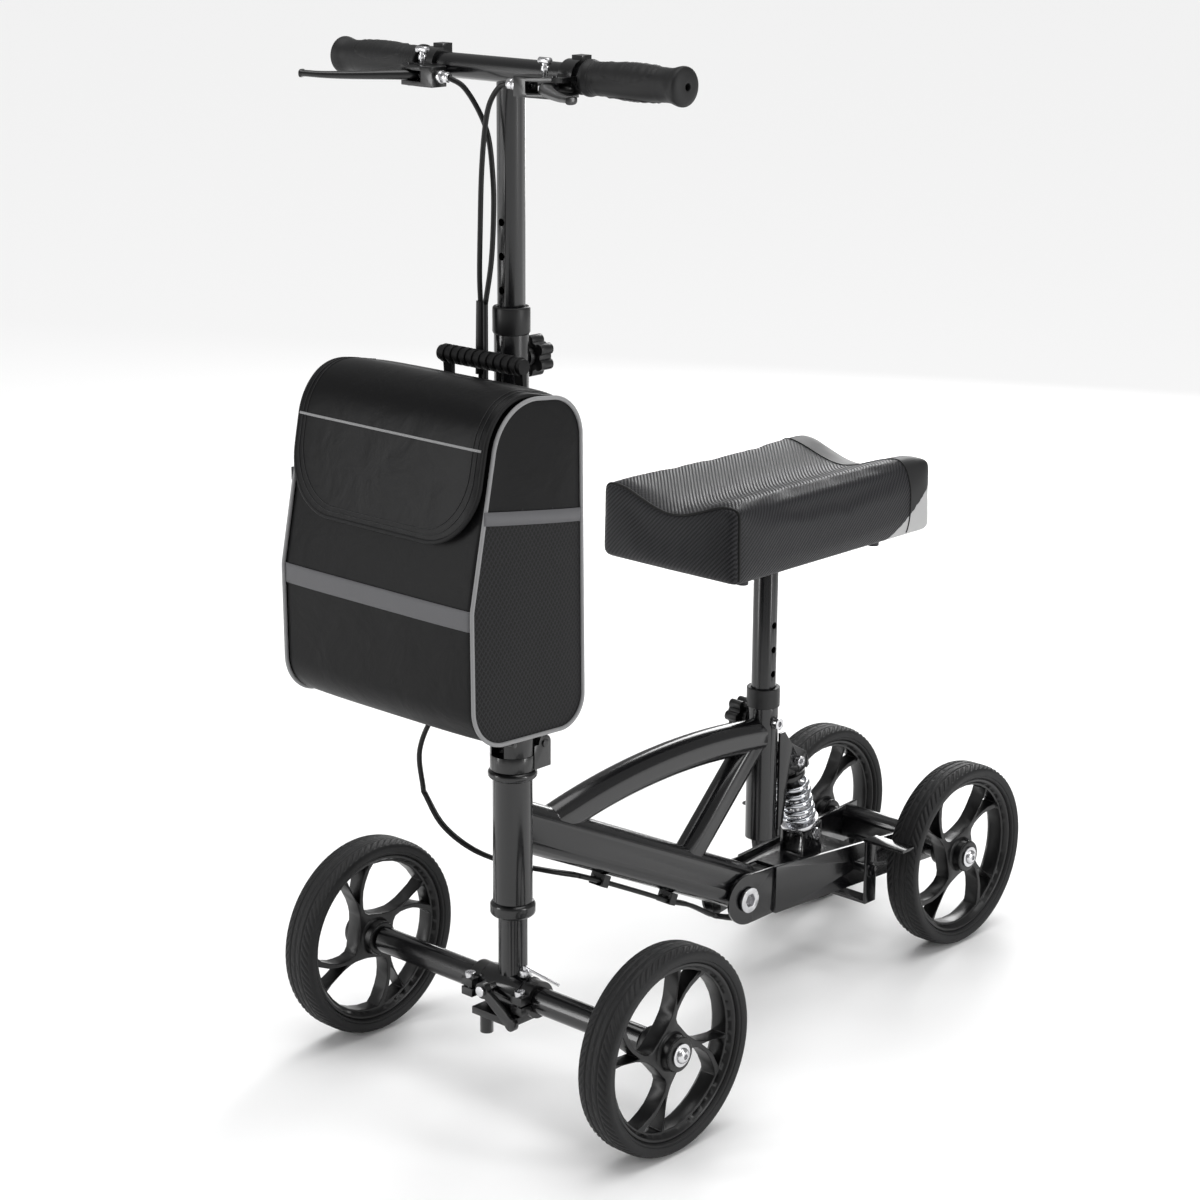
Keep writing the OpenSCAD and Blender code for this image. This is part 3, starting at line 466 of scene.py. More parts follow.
def capped(points: np.ndarray, faces: np.ndarray, ring: np.ndarray,
           flip: bool) -> tuple[np.ndarray, np.ndarray]:
    """Close one open ring with a fan of quads round a centre point.

    Args:
        points: all points.
        faces: all faces.
        ring: indices of the open ring, an even number of them.
        flip: reverse the fan's winding.

    Returns:
        The points with the centre added, and the faces with the fan added.
    """
    centre = len(points)
    points = np.vstack([points, points[ring].mean(0)])
    a, b, c = ring[0::2], ring[1::2], np.roll(ring[0::2], -1)
    fan = np.stack([a, b, c, np.full(len(a), centre)], -1)
    return points, np.vstack([faces, fan[:, ::-1] if flip else fan])


def spline(knots: Sequence[Sequence[float]], per_span: int) -> np.ndarray:
    """Catmull-Rom curve through the knots.

    Args:
        knots: the points to pass through.
        per_span: samples between two knots.

    Returns:
        The sampled curve.
    """
    p = np.asarray(knots, float)
    p = np.vstack([2 * p[0] - p[1], p, 2 * p[-1] - p[-2]])
    t = np.linspace(0, 1, per_span, endpoint=False)[:, None]
    spans = [
        0.5 * (2 * b + (c - a) * t + (2 * a - 5 * b + 4 * c - d) * t**2 + (3 * b - a - 3 * c + d) * t**3)
        for a, b, c, d in zip(p, p[1:], p[2:], p[3:])
    ]
    return np.vstack([*spans, p[-2][None]])


def carried_frames(path: np.ndarray, up: Sequence[float]) -> tuple[np.ndarray, np.ndarray]:
    """Two directions across a path at each point, carried along it without twist.

    Args:
        path: n by 3 points.
        up: a direction to start from.

    Returns:
        Two n by 3 arrays of unit vectors.
    """
    tangent = np.gradient(path, axis=0)
    tangent /= np.linalg.norm(tangent, axis=1)[:, None]
    side = np.empty_like(path)
    s = np.cross(tangent[0], up)
    s /= np.linalg.norm(s)
    for k, t in enumerate(tangent):
        s = s - t * (s @ t)
        s /= np.linalg.norm(s)
        side[k] = s
    return side, np.cross(side, tangent)


def sweep(name: str, path: np.ndarray, section: np.ndarray, up: Sequence[float] = (0, 0, 1),
          size: np.ndarray | None = None) -> bpy.types.Object:
    """Solid tube: a section of (side, up) offsets carried along a path and capped at both ends.

    Args:
        name: object name.
        path: n by 3 points, in metres.
        section: k by 2 offsets, in metres, k even.
        up: direction that the section's second axis starts from.
        size: n factors that scale the section, or None.

    Returns:
        The object.
    """
    scale = np.ones(len(path)) if size is None else np.asarray(size)
    fresh = np.r_[True, np.linalg.norm(np.diff(path, axis=0), axis=1) > 1e-6]
    path, scale = path[fresh], scale[fresh]
    side, other = carried_frames(path, up)
    points = (path[:, None] + scale[:, None, None] * (
        section[None, :, :1] * side[:, None] + section[None, :, 1:] * other[:, None])).reshape(-1, 3)
    n, k = len(path), len(section)
    faces = grid_faces(n, k, wrap_cols=True)
    points, faces = capped(points, faces, np.arange(k), flip=True)
    points, faces = capped(points, faces, (n - 1) * k + np.arange(k), flip=False)
    thing = new_mesh(name, points, faces)
    face_outwards(thing)
    return thing


def circle(radius_mm: float, sides: int) -> np.ndarray:
    """Round section.

    Args:
        radius_mm: radius in millimetres.
        sides: number of points.

    Returns:
        sides by 2 offsets in metres.
    """
    a = np.linspace(0, 2 * math.pi, sides, endpoint=False)
    return np.stack([np.cos(a), np.sin(a)], -1) * radius_mm / 1000


def rounded_bar(width_mm: float, height_mm: float, power: float = 4.0, sides: int = 24) -> np.ndarray:
    """Superellipse section: both axes' cosines and sines raised to two over the power.

    Args:
        width_mm: full width.
        height_mm: full height.
        power: two is an ellipse, more is squarer.
        sides: number of points.

    Returns:
        sides by 2 offsets in metres.
    """
    a = np.linspace(0, 2 * math.pi, sides, endpoint=False)
    c, s = np.cos(a), np.sin(a)
    x = np.sign(c) * np.abs(c) ** (2 / power) * width_mm / 2000
    y = np.sign(s) * np.abs(s) ** (2 / power) * height_mm / 2000
    return np.stack([x, y], -1)


def face_outwards(thing: bpy.types.Object) -> None:
    """Turn the faces of a closed mesh outwards.

    Args:
        thing: the mesh object.
    """
    work = bmesh.new()
    work.from_mesh(thing.data)
    bmesh.ops.recalc_face_normals(work, faces=work.faces)
    work.to_mesh(thing.data)
    work.free()


def face_away(thing: bpy.types.Object, centre: np.ndarray, weight: Sequence[float] = (1, 1, 1)) -> None:
    """Turn the faces of an open sheet away from a point.

    Args:
        thing: the sheet.
        centre: the point, in metres.
        weight: how much each axis counts.
    """
    mesh = thing.data
    count = len(mesh.polygons)
    normal, middle = np.empty(count * 3), np.empty(count * 3)
    mesh.polygons.foreach_get("normal", normal)
    mesh.polygons.foreach_get("center", middle)
    out = (middle.reshape(-1, 3) - centre) * np.asarray(weight)
    if (normal.reshape(-1, 3) * out).sum() < 0:
        mesh.flip_normals()


def sharpen(thing: bpy.types.Object, degrees: float = 35.0) -> None:
    """Keep edges sharper than an angle crisp in a smooth-shaded mesh.

    Args:
        thing: the mesh object.
        degrees: the angle.
    """
    thing.data.set_sharp_from_angle(angle=math.radians(degrees))


def modifier(thing: bpy.types.Object, kind: str, **settings: Any) -> bpy.types.Modifier:
    """Add a modifier with its settings.

    Args:
        thing: the object.
        kind: the modifier type.
        settings: attribute names and values.

    Returns:
        The modifier.
    """
    made = thing.modifiers.new(kind.lower(), kind)
    for key, value in settings.items():
        setattr(made, key, value)
    return made


def dress(thing: bpy.types.Object, body: Body | str, material: bpy.types.Material,
          nodes: Iterable[str] = ()) -> bpy.types.Object:
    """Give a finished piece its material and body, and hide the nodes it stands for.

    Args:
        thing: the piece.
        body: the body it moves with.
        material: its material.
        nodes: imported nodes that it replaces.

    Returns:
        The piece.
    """
    thing.data.materials.clear()
    thing.data.materials.append(material)
    nodes = list(nodes)
    if nodes:
        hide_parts(*nodes)
    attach(thing, body.value if isinstance(body, Body) else body)
    log.info("%s: %d vertices on %s", thing.name, len(thing.data.vertices), body)
    return thing


# ---------------------------------------------------------------- hard pieces


@dataclass(frozen=True)
class Trim:
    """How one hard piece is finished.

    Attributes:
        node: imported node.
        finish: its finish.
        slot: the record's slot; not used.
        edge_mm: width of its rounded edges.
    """

    node: str
    finish: Finish
    slot: str
    edge_mm: float = 0.5


class Hardware:
    """Machined, welded and moulded pieces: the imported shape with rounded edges."""

    TRIMS: tuple[Trim, ...] = (
        *(Trim(n, Paint.POWDER, "frame_paint", 0.8) for n in (
            "head_tube", "down_tube", "top_tube", "brace_tube", "seat_tube", "shock_bracket", "swingarm",
            "rear_beam", "brake_bar", "steerer_tube", "axle_tube")),
        *(Trim(n, Paint.TUBE, "frame_paint", 0.5) for n in ("stem_tube", "handlebar_tee", "seat_post")),
        *(Trim(n, Paint.ALLOY, "frame_paint", 0.9) for n in (
            "head_bearing_cups", "fold_base", "fold_yoke", "fold_latch", "axle_clamps", "axle_lock_lever",
            "lever_bracket_left", "lever_bracket_right", "shock_body", "seat_plate")),
        *(Trim(n, Paint.ZINC, "steel", 0.35) for n in (
            "pivot_axle", "frame_bolts", "front_axle_bolts", "axle_lock_pin", "stem_clamp_bolt",
            "parking_pin_left", "parking_pin_right", "rear_axle_bolts", "shock_rod", "cable_adjusters")),
        Trim("seat_bolts", Paint.BLACK_ZINC, "steel", 0.4),
        *(Trim(n, Paint.MOULDED, "moulding", 0.8) for n in (
            "seat_tube_collar", "stem_collar", "cable_clips", "cable_sleeve", "stem_knob", "seat_knob")),
        *(Trim(n, Paint.RIM, "rim_plastic", 0.9) for n in (
            "front_left_rim", "front_right_rim", "rear_left_rim", "rear_right_rim")),
    )

    def build(self) -> None:
        """Dress every hard piece."""
        for trim in self.TRIMS:
            self.piece(trim)

    def piece(self, trim: Trim) -> bpy.types.Object:
        """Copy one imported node, weld its vertices and round its edges.

        Args:
            trim: what to copy and how to finish it.

        Returns:
            The new piece.
        """
        source = frame["nodes"][trim.node]
        work = bmesh.new()
        work.from_mesh(source.data)
        work.transform(source.matrix_world)
        bmesh.ops.remove_doubles(work, verts=work.verts, dist=2e-6)
        bmesh.ops.dissolve_degenerate(work, dist=2e-6, edges=work.edges)
        mesh = bpy.data.meshes.new(trim.node + "_look")
        work.to_mesh(mesh)
        work.free()
        thing = bpy.data.objects.new(trim.node + "_look", mesh)
        bpy.context.scene.collection.objects.link(thing)
        mesh.polygons.foreach_set("use_smooth", np.ones(len(mesh.polygons), bool))
        modifier(thing, "BEVEL", width=trim.edge_mm / 1000, segments=2, limit_method="ANGLE",
                 angle_limit=math.radians(32), harden_normals=True, use_clamp_overlap=True)
        sharpen(thing, 50)
        return dress(thing, BODY_OF[trim.node], SHOP.plain(trim.finish), [trim.node])


BODY_OF = {n: b for b, names in frame["record"]["behaviour"]["bodies"].items() for n in names}


# ---------------------------------------------------------------- wheels


@dataclass(frozen=True)
class TyreSize:
    """Sizes of a tyre.

    Attributes:
        axle: height of the axle, and so the tyre's radius, in millimetres.
        groove: depth of the grooves round it, in millimetres.
        sipes: slanting cuts round each shoulder.
    """

    axle: float = 100.0
    groove: float = 1.3
    sipes: int = 72


class Wheels:
    """Four tyres with their treads; each place is an axle ahead of the front one, and a tyre's middle."""

    PLACES = {
        "front_left": (0.0, 197.5), "front_right": (0.0, -197.5),
        "rear_left": (-592.0, 94.0), "rear_right": (-592.0, -94.0),
    }

    def __init__(self, size: TyreSize = TyreSize()) -> None:
        """Keep the sizes.

        Args:
            size: the tyre's sizes.
        """
        self.size = size

    def profile(self) -> np.ndarray:
        """Half round the tyre's section, as (radius, width), from the left bead over the tread to the right.

        Returns:
            n by 2 millimetres.
        """
        left = [
            (85.2, -14), (86.5, -16.4), (88.2, -16.8), (89.0, -17.9), (91.5, -18.7), (94.0, -18.9),
            (96.2, -18.0), (97.9, -16.2), (99.1, -13.4), (99.8, -10), (100, -6),
        ]
        right = [(radius, -width) for radius, width in reversed(left)]
        return spline([*left, (100, 0), *right], 6)

    def tread(self, profile: np.ndarray, angle: np.ndarray) -> np.ndarray:
        """Depth cut from the tyre: three grooves round it, and slanting sipes on each shoulder.

        A groove is a smooth notch 1.8 wide at widths of minus 7, 0 and 7. A sipe is where the cosine of the
        angle's sipe count plus the width's slant is over 0.35, for widths from 9 to 17.

        Args:
            profile: n by 2 section points.
            angle: m angles.

        Returns:
            n by m depths, in millimetres.
        """
        w = profile[:, 1:]
        on_top = profile[:, :1] > 96.5
        groove = sum(np.exp(-(((w - c) / 0.95) ** 4)) for c in (-7.0, 0.0, 7.0)) * self.size.groove
        a = np.abs(w)
        slant = angle[None, :] / (2 * math.pi) * self.size.sipes + 0.16 * (a - 9) + 0.5 * (w > 0)
        notch = 0.5 + 0.5 * np.tanh(6 * (np.cos(2 * math.pi * slant) - 0.35))
        band = np.clip((a - 8.6) / 1.2, 0, 1) * np.clip((17.4 - a) / 1.2, 0, 1)
        mid = np.clip((5.9 - np.abs(a - 3.5) * 3.4) / 2.0, 0, 1)
        fine = 0.5 + 0.5 * np.tanh(6 * (np.cos(2 * math.pi * (slant * 0.5 + 0.1 * w)) - 0.75))
        return on_top * (groove + 0.95 * notch * band + 0.6 * fine * mid)

    def tyre(self, name: str, x: float, y: float) -> bpy.types.Object:
        """Lathe one tyre about its axle and cut the tread.

        Args:
            name: wheel name.
            x: axle place ahead of the front axle.
            y: middle of the tyre.

        Returns:
            The tyre.
        """
        profile = self.profile()
        angle = np.linspace(0, 2 * math.pi, 720, endpoint=False)
        radius = profile[:, :1] - self.tread(profile, angle)
        px = x + radius * np.cos(angle)
        pz = self.size.axle + radius * np.sin(angle)
        py = np.repeat(y + profile[:, 1:], len(angle), 1)
        points = np.stack([FRONT + px / 1000, py / 1000, pz / 1000], -1).reshape(-1, 3)
        faces = grid_faces(len(profile), len(angle), wrap_cols=True, wrap_rows=True)
        thing = new_mesh(f"{name}_tyre_look", points, faces)
        face_outwards(thing)
        return dress(thing, f"{name}_wheel", SHOP.plain(Paint.TYRE), [f"{name}_tyre"])

    def build(self) -> None:
        """Build the four tyres."""
        for name, (x, y) in self.PLACES.items():
            self.tyre(name, x, y)


# ---------------------------------------------------------------- handlebar


def inside(value: np.ndarray, low: float, high: float) -> np.ndarray:
    """Fade from nothing to one over 3 inside each end of a span.

    Args:
        value: values to test.
        low: start of the span.
        high: end of the span.

    Returns:
        Zero to one for each value.
    """
    return np.clip((value - low) / 3, 0, 1) * np.clip((high - value) / 3, 0, 1)


class Handlebar:
    """Grips and brake levers."""

    def grip(self, side: int) -> bpy.types.Object:
        """Lathe one grip: flange, waist, palm swell with two ribbed oval pads, and a flared domed end.

        Args:
            side: 1 for the left, -1 for the right.

        Returns:
            The grip.
        """
        knots = [
            (11.2, 100), (14.4, 100), (15.8, 101), (16.0, 104), (15.0, 107), (14.6, 112), (15.0, 125),
            (15.9, 145), (16.1, 160), (15.4, 178), (14.5, 190), (14.9, 197), (16.2, 202), (17.0, 206),
            (16.4, 209), (13.0, 211),
            (8.0, 212), (4.0, 212), (3.2, 211), (3.0, 208), (3.0, 206),
        ]
        profile = spline(knots, 9)
        angle = np.linspace(0, 2 * math.pi, 144, endpoint=False)
        r, w = profile[:, :1], profile[:, 1:]
        ribs = 0.5 + 0.5 * np.cos(2 * math.pi * w / 2.6 + 3 * np.cos(angle)[None, :])
        oval = 0.5 + 0.45 * ((w - 151) / 33) ** 2
        pad = inside(w, 118, 184) * (np.abs(np.sin(angle + 0.5))[None, :] > oval)
        rings = 0.5 + 0.5 * np.cos(2 * math.pi * w / 3.0)
        radius = r + 0.55 * ribs * pad - 0.5 * rings * inside(w, 106, 117)
        radius = radius - 0.35 * (1 - pad) * inside(w, 117, 186)
        px, pz = 3 + radius * np.cos(angle), 970 + radius * np.sin(angle)
        py = np.repeat(side * w, len(angle), 1)
        points = np.stack([FRONT + px / 1000, py / 1000, pz / 1000], -1).reshape(-1, 3)
        n, k = len(profile), len(angle)
        faces = grid_faces(n, k, wrap_cols=True)
        points, faces = capped(points, faces, (n - 1) * k + np.arange(k), flip=False)
        thing = new_mesh(f"grip_{'left' if side > 0 else 'right'}_look", points, faces)
        face_outwards(thing)
        return dress(thing, Body.HANDLEBAR, SHOP.plain(Paint.GRIP),
                     ["grip_left" if side > 0 else "grip_right"])

    def lever(self, side: int) -> bpy.types.Object:
        """Sweep one brake lever blade: a flat rounded bar from the pivot lug out to a ball end.

        Args:
            side: 1 for the left, -1 for the right.

        Returns:
            The blade.
        """
        knots = [(30, 82, 962.5), (40, 87, 962.5), (52, 97, 962.5), (64, 112, 962), (76, 131, 961.5),
                 (86, 148, 961.5), (92, 160, 962), (94, 166, 962)]
        path = spline([at(x, side * y, z) for x, y, z in knots], 10)
        s = np.linspace(0, 1, len(path))
        size = 1.25 - 0.55 * np.clip(s * 1.3, 0, 1) + 0.22 * np.exp(-(((s - 0.965) / 0.03) ** 2))
        size *= np.sqrt(np.clip((1.012 - s) / 0.03, 0, 1)) * np.sqrt(np.clip((s + 0.012) / 0.03, 0, 1))
        node = "brake_lever_left" if side > 0 else "brake_lever_right"
        body = Body.LEVER_LEFT if side > 0 else Body.LEVER_RIGHT
        thing = sweep(node + "_look", path, rounded_bar(12.5, 8.2, 2.8, 28), (0, 0, 1), size)
        return dress(thing, body, SHOP.plain(Paint.ALLOY), [node])

    def build(self) -> None:
        """Build both grips and both levers."""
        for side in (1, -1):
            self.grip(side)
            self.lever(side)


# ---------------------------------------------------------------- cables and spring


class Cables:
    """Brake cables from the levers to the brake bar."""

    LEFT = [(36, 37, 963), (37, 26, 959), (36, 13, 943), (33, 4, 918), (30, -3, 880), (26, -9, 830),
            (21, -15, 790), (18, -17, 764)]
    RIGHT = [(36, -37, 963), (30, -24, 955), (23, -12, 934), (21, -3, 912), (20, 1, 880), (20, 2, 850),
             (20, -1, 805), (20, -9, 764)]
    LOOP = [(18, -40, 402), (28, -68, 372), (34, -86, 330), (26, -90, 285)]
    ROUND = [(26, -90, 285), (8, -84, 248), (-14, -68, 222), (-36, -44, 208), (-62, -16, 200), (-92, -5, 190)]
    UNDER = [(-92, -5, 190), (-126, -4, 174.5), (-180, -4, 148), (-230, -4, 123), (-261, -4, 109.5),
             (-300, -5, 86)]
    TAIL = [(-300, -5, 86), (-340, -6, 72), (-400, -6, 66), (-440, -6, 65), (-466, -6, 65.5)]

    def line(self, name: str, knots: Sequence[Sequence[float]], start: Sequence[float] = (0, 0, 0),
             end: Sequence[float] | None = None) -> bpy.types.Object:
        """Sweep one round cable along a smooth curve, shifted evenly from one offset to another.

        Args:
            name: object name.
            knots: points of the route, in millimetres.
            start: offset at the first point, in millimetres.
            end: offset at the last point; the first one's where it is left out.

        Returns:
            The cable.
        """
        share = np.linspace(0, 1, len(knots))[:, None]
        first, last = np.array(start, float), np.array(start if end is None else end, float)
        route = np.array(knots, float) + first * (1 - share) + last * share
        path = spline([at(x, y, z) for x, y, z in route], 8)
        thing = sweep(name, path, circle(2.4, 16), (0.6, -0.6, 0.5))
        thing.data.materials.append(SHOP.plain(Paint.CABLE))
        return thing

    def build(self) -> None:
        """Build the upper pair, the loop pair and the pair under the down tube."""
        for name, knots in (("left", self.LEFT), ("right", self.RIGHT)):
            upper = self.line(f"brake_cable_upper_{name}", knots)
            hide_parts("brake_cables_upper")
            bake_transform(upper)
        for k, (beside, along) in enumerate((((0, 0, 0), (0, 0, 0)), ((-3.8, -3.5, -1.4), (0, 8, 0)))):
            loop = self.line(f"brake_cable_loop_{k}", self.LOOP, beside)
            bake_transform(loop)
            turn = self.line(f"brake_cable_turn_{k}", self.ROUND, beside, along)
            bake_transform(turn)
            under = self.line(f"brake_cable_under_{k}", self.UNDER, along)
            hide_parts("brake_cables_lower")
            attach(under, Body.FRAME.value)
            tail = self.line(f"brake_cable_tail_{k}", self.TAIL, along)
            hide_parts("brake_cables_lower")
            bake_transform(tail)


class Shock:
    """Coil spring of the rear shock absorber."""

    def build(self) -> None:
        """Sweep a helix of round wire round the line between the two eyes."""
        low, top = at(-443, 0, 143), at(-414, 0, 231)
        axis = (top - low) / np.linalg.norm(top - low)
        across = np.cross(axis, (0.0, 1.0, 0.0))
        turns, steps = 5.0, 40
        t = np.linspace(0, 1, int(turns * steps) + 1)
        climb = 0.0175 + 0.0485 * (t * 0.86 + 0.14 * (t * t * (3 - 2 * t)))
        a = 2 * math.pi * turns * t
        path = low + climb[:, None] * axis + 0.0165 * (
            np.cos(a)[:, None] * across + np.sin(a)[:, None] * np.array([0.0, 1.0, 0.0]))
        thing = sweep("shock_spring_look", path, circle(3.0, 14), axis)
        thing.data.materials.append(SHOP.plain(Paint.SPRING))
        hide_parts("shock_spring")
        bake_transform(thing)


# ---------------------------------------------------------------- knee cushion


@dataclass(frozen=True)
class CushionSize:
    """Sizes of the knee cushion, in millimetres.

    Attributes:
        front: its front end, ahead of the front axle.
        back: its rear end.
        half: half its width.
        low: height of its underside.
        high: height of its two long top edges.
        dip: depth of the hollow between them.
        edge: radius of its edges.
        band: length of the plain band at the rear.
        corner_long: length of the pale corner panels along the underside.
        corner_high: height of the pale corner panels at the rear.
    """

    front: float = -220.0
    back: float = -535.0
    half: float = 88.0
    low: float = 471.0
    high: float = 547.0
    dip: float = 17.0
    edge: float = 9.0
    band: float = 42.0
    corner_long: float = 76.0
    corner_high: float = 52.0


class Cushion:
    """Foam cushion under a stitched vinyl cover."""

    def __init__(self, size: CushionSize = CushionSize()) -> None:
        """Keep the sizes.

        Args:
            size: the cushion's sizes.
        """
        self.size = size

    def top(self, y: np.ndarray) -> np.ndarray:
        """Height of the hollow top: the full height less a raised cosine dip across the cushion.

        Args:
            y: distance from the middle, in millimetres.

        Returns:
            Heights in millimetres.
        """
        s = self.size
        w = np.clip(np.abs(y) / (s.half - 12), 0, 1)
        return s.high - s.dip * (0.5 + 0.5 * np.cos(math.pi * w))

    def block(self) -> bpy.types.Object:
        """Closed block of quads: a cube's surface grid, stretched to size, rounded, and hollowed on top.

        Returns:
            The block.
        """
        s = self.size
        counts = {"x": 63, "y": 35, "z": 15}
        sheets = []
        for flat, a, b in (("x", "y", "z"), ("y", "z", "x"), ("z", "x", "y")):
            for end in (-1.0, 1.0):
                u, v = np.meshgrid(np.linspace(-1, 1, counts[a] + 1), np.linspace(-1, 1, counts[b] + 1),
                                   indexing="ij")
                unit = {flat: np.full_like(u, end), a: u, b: v}
                grid = np.stack([unit["x"], unit["y"], unit["z"]], -1)
                sheets.append((grid, end < 0))
        points, faces, base = [], [], 0
        for grid, flip in sheets:
            f = grid_faces(grid.shape[0], grid.shape[1]) + base
            faces.append(f[:, ::-1] if flip else f)
            points.append(grid.reshape(-1, 3))
            base += grid.shape[0] * grid.shape[1]
        unit = np.vstack(points)
        half = np.array([(s.front - s.back) / 2, s.half, (s.high - s.low) / 2])
        p = unit * half
        core = np.clip(p, -(half - s.edge), half - s.edge)
        out = p - core
        length = np.linalg.norm(out, axis=1, keepdims=True)
        p = np.where(length > s.edge, core + out * s.edge / np.maximum(length, 1e-9), p)
        lift = (p[:, 2] + half[2]) / (2 * half[2])
        p[:, 2] = -half[2] + lift * (self.top(p[:, 1]) - s.low)
        p += np.array([(s.front + s.back) / 2, 0, (s.high + s.low) / 2])
        world = p / 1000 + np.array([FRONT, 0, 0])
        thing = new_mesh("knee_cushion_look", world, np.vstack(faces))
        work = bmesh.new()
        work.from_mesh(thing.data)
        bmesh.ops.remove_doubles(work, verts=work.verts, dist=1e-5)
        bmesh.ops.recalc_face_normals(work, faces=work.faces)
        work.to_mesh(thing.data)
        work.free()
        return thing

    def inflate(self, thing: bpy.types.Object) -> None:
        """Let the cover take up the foam's pressure in a short cloth run, then limit how far it moved.

        Args:
            thing: the cushion.
        """
        s = self.size
        flat = np.empty(len(thing.data.vertices) * 3)
        thing.data.vertices.foreach_get("co", flat)
        rest = flat.reshape(-1, 3)
        z = (rest[:, 2] * 1000 - s.low) / (s.high - s.low)
        held = thing.vertex_groups.new(name="held")
        held.add(np.nonzero(z < 0.06)[0].tolist(), 1.0, "REPLACE")
        cloth = thing.modifiers.new("cloth", "CLOTH")
        settings = cloth.settings
        settings.quality = 6
        settings.mass = 0.4
        settings.tension_stiffness = settings.compression_stiffness = 40
        settings.bending_stiffness = 2.0
        settings.use_pressure = True
        settings.uniform_pressure_force = 4.0
        settings.vertex_group_mass = "held"
        settings.effector_weights.gravity = 0.0
        cloth.point_cache.frame_start, cloth.point_cache.frame_end = 1, 20
        scene = bpy.context.scene
        for number in range(1, 21):
            scene.frame_set(number)
        moved = thing.evaluated_get(bpy.context.evaluated_depsgraph_get())
        flat = np.empty(len(rest) * 3)
        moved.to_mesh().vertices.foreach_get("co", flat)
        after = flat.reshape(-1, 3)
        moved.to_mesh_clear()
        thing.modifiers.remove(cloth)
        scene.frame_set(1)
        step = after - rest
        length = np.linalg.norm(step, axis=1, keepdims=True)
        step *= np.minimum(1.0, 0.0032 / np.maximum(length, 1e-9))
        thing.data.vertices.foreach_set("co", (rest + step).astype(np.float32).ravel())
        thing.data.update()
        log.info("cushion cover moved up to %.2f mm", 1000 * np.linalg.norm(step, axis=1).max())

    def cut(self, thing: bpy.types.Object) -> None:
        """Cut the mesh along the rear band's seam and along the slanting edge of the rear corner panels.

        Args:
            thing: the cushion.
        """
        s = self.size
        slant = np.array([1 / s.corner_long, 0.0, 1 / s.corner_high])
        work = bmesh.new()
        work.from_mesh(thing.data)
        cuts = ((at(s.back + s.band, 0, 0), (1.0, 0.0, 0.0)), (at(s.back + s.corner_long, 0, s.low), slant))
        for place, normal in cuts:
            geometry = [*work.verts, *work.edges, *work.faces]
            bmesh.ops.bisect_plane(work, geom=geometry, dist=1e-5, plane_co=place, plane_no=normal)
        bmesh.ops.triangulate(work, faces=[f for f in work.faces if len(f.verts) > 4])
        work.to_mesh(thing.data)
        work.free()

    def cover(self, thing: bpy.types.Object) -> None:
        """Give each face cloth coordinates that run on over the long edges, and its panel's material.

        Args:
            thing: the cushion.
        """
        s = self.size
        mesh = thing.data
        corner_of = np.empty(len(mesh.loops), np.int32)
        mesh.loops.foreach_get("vertex_index", corner_of)
        co = np.empty(len(mesh.vertices) * 3)
        mesh.vertices.foreach_get("co", co)
        p = co.reshape(-1, 3)[corner_of]
        normal, centre = np.empty(len(mesh.polygons) * 3), np.empty(len(mesh.polygons) * 3)
        mesh.polygons.foreach_get("normal", normal)
        mesh.polygons.foreach_get("center", centre)
        normal, centre = normal.reshape(-1, 3), centre.reshape(-1, 3)
        total = np.empty(len(mesh.polygons), np.int32)
        mesh.polygons.foreach_get("loop_total", total)
        axis = np.repeat(np.argmax(np.abs(normal) * np.array([1.0, 1.0, 1.05]), axis=1), total)[:, None]
        side = np.repeat(np.sign(centre[:, 1]), total)
        round_side = np.stack([p[:, 0], side * (s.half / 1000 + s.high / 1000 - p[:, 2])], -1)
        uv = np.where(axis == 2, p[:, [0, 1]], np.where(axis == 1, round_side, p[:, [1, 2]]))
        layer = mesh.uv_layers.new(name="cloth")
        layer.data.foreach_set("uv", uv.astype(np.float32).ravel())
        x = (centre[:, 0] - FRONT) * 1000 - s.back
        z = centre[:, 2] * 1000 - s.low
        corner = x / s.corner_long + z / s.corner_high < 1
        mesh.materials.clear()
        # 060607 is painted shade in the twill's valleys; 2e2e31 is the vinyl's own colour on the ribs.
        mesh.materials.append(SHOP.twill("twill_pressed_vinyl", "060607", "2e2e31", 3.4))
        mesh.materials.append(SHOP.plain(Paint.REAR_BAND))
        mesh.materials.append(SHOP.plain(Paint.CORNER))
        panel = np.where(corner, 2, np.where(x < s.band, 1, 0))
        mesh.polygons.foreach_set("material_index", panel.astype(np.int32))

    def loop_at(self, thing: bpy.types.Object, x: float, lift: float) -> np.ndarray:
        """Line over the cushion from side to side at a place along it, laid on the cover.

        Args:
            thing: the cushion.
            x: place ahead of the front axle.
            lift: how far the line stands off the cover.

        Returns:
            n by 3 points in metres.
        """
        s = self.size
        e = s.edge
        side = [(-s.half, z) for z in np.linspace(s.low + 4, s.high - e - 2, 14)]
        arc = [(-s.half + e - e * math.cos(a), s.high - e + e * math.sin(a))
               for a in np.linspace(0.15, math.pi / 2 - 0.15, 6)]
        over = [(y, float(self.top(np.array([y]))[0])) for y in np.linspace(-s.half + 14, s.half - 14, 30)]
        line = side + arc + over + [(-y, z) for y, z in reversed(side + arc)]
        laid = []
        for y, z in line:
            _, place, normal, _ = thing.closest_point_on_mesh(Vector(at(x, y, z)))
            out = Vector((0.0, normal.y, normal.z)).normalized() * lift / 1000
            laid.append([FRONT + x / 1000, place.y + out.y, place.z + out.z])
        return np.array(laid)

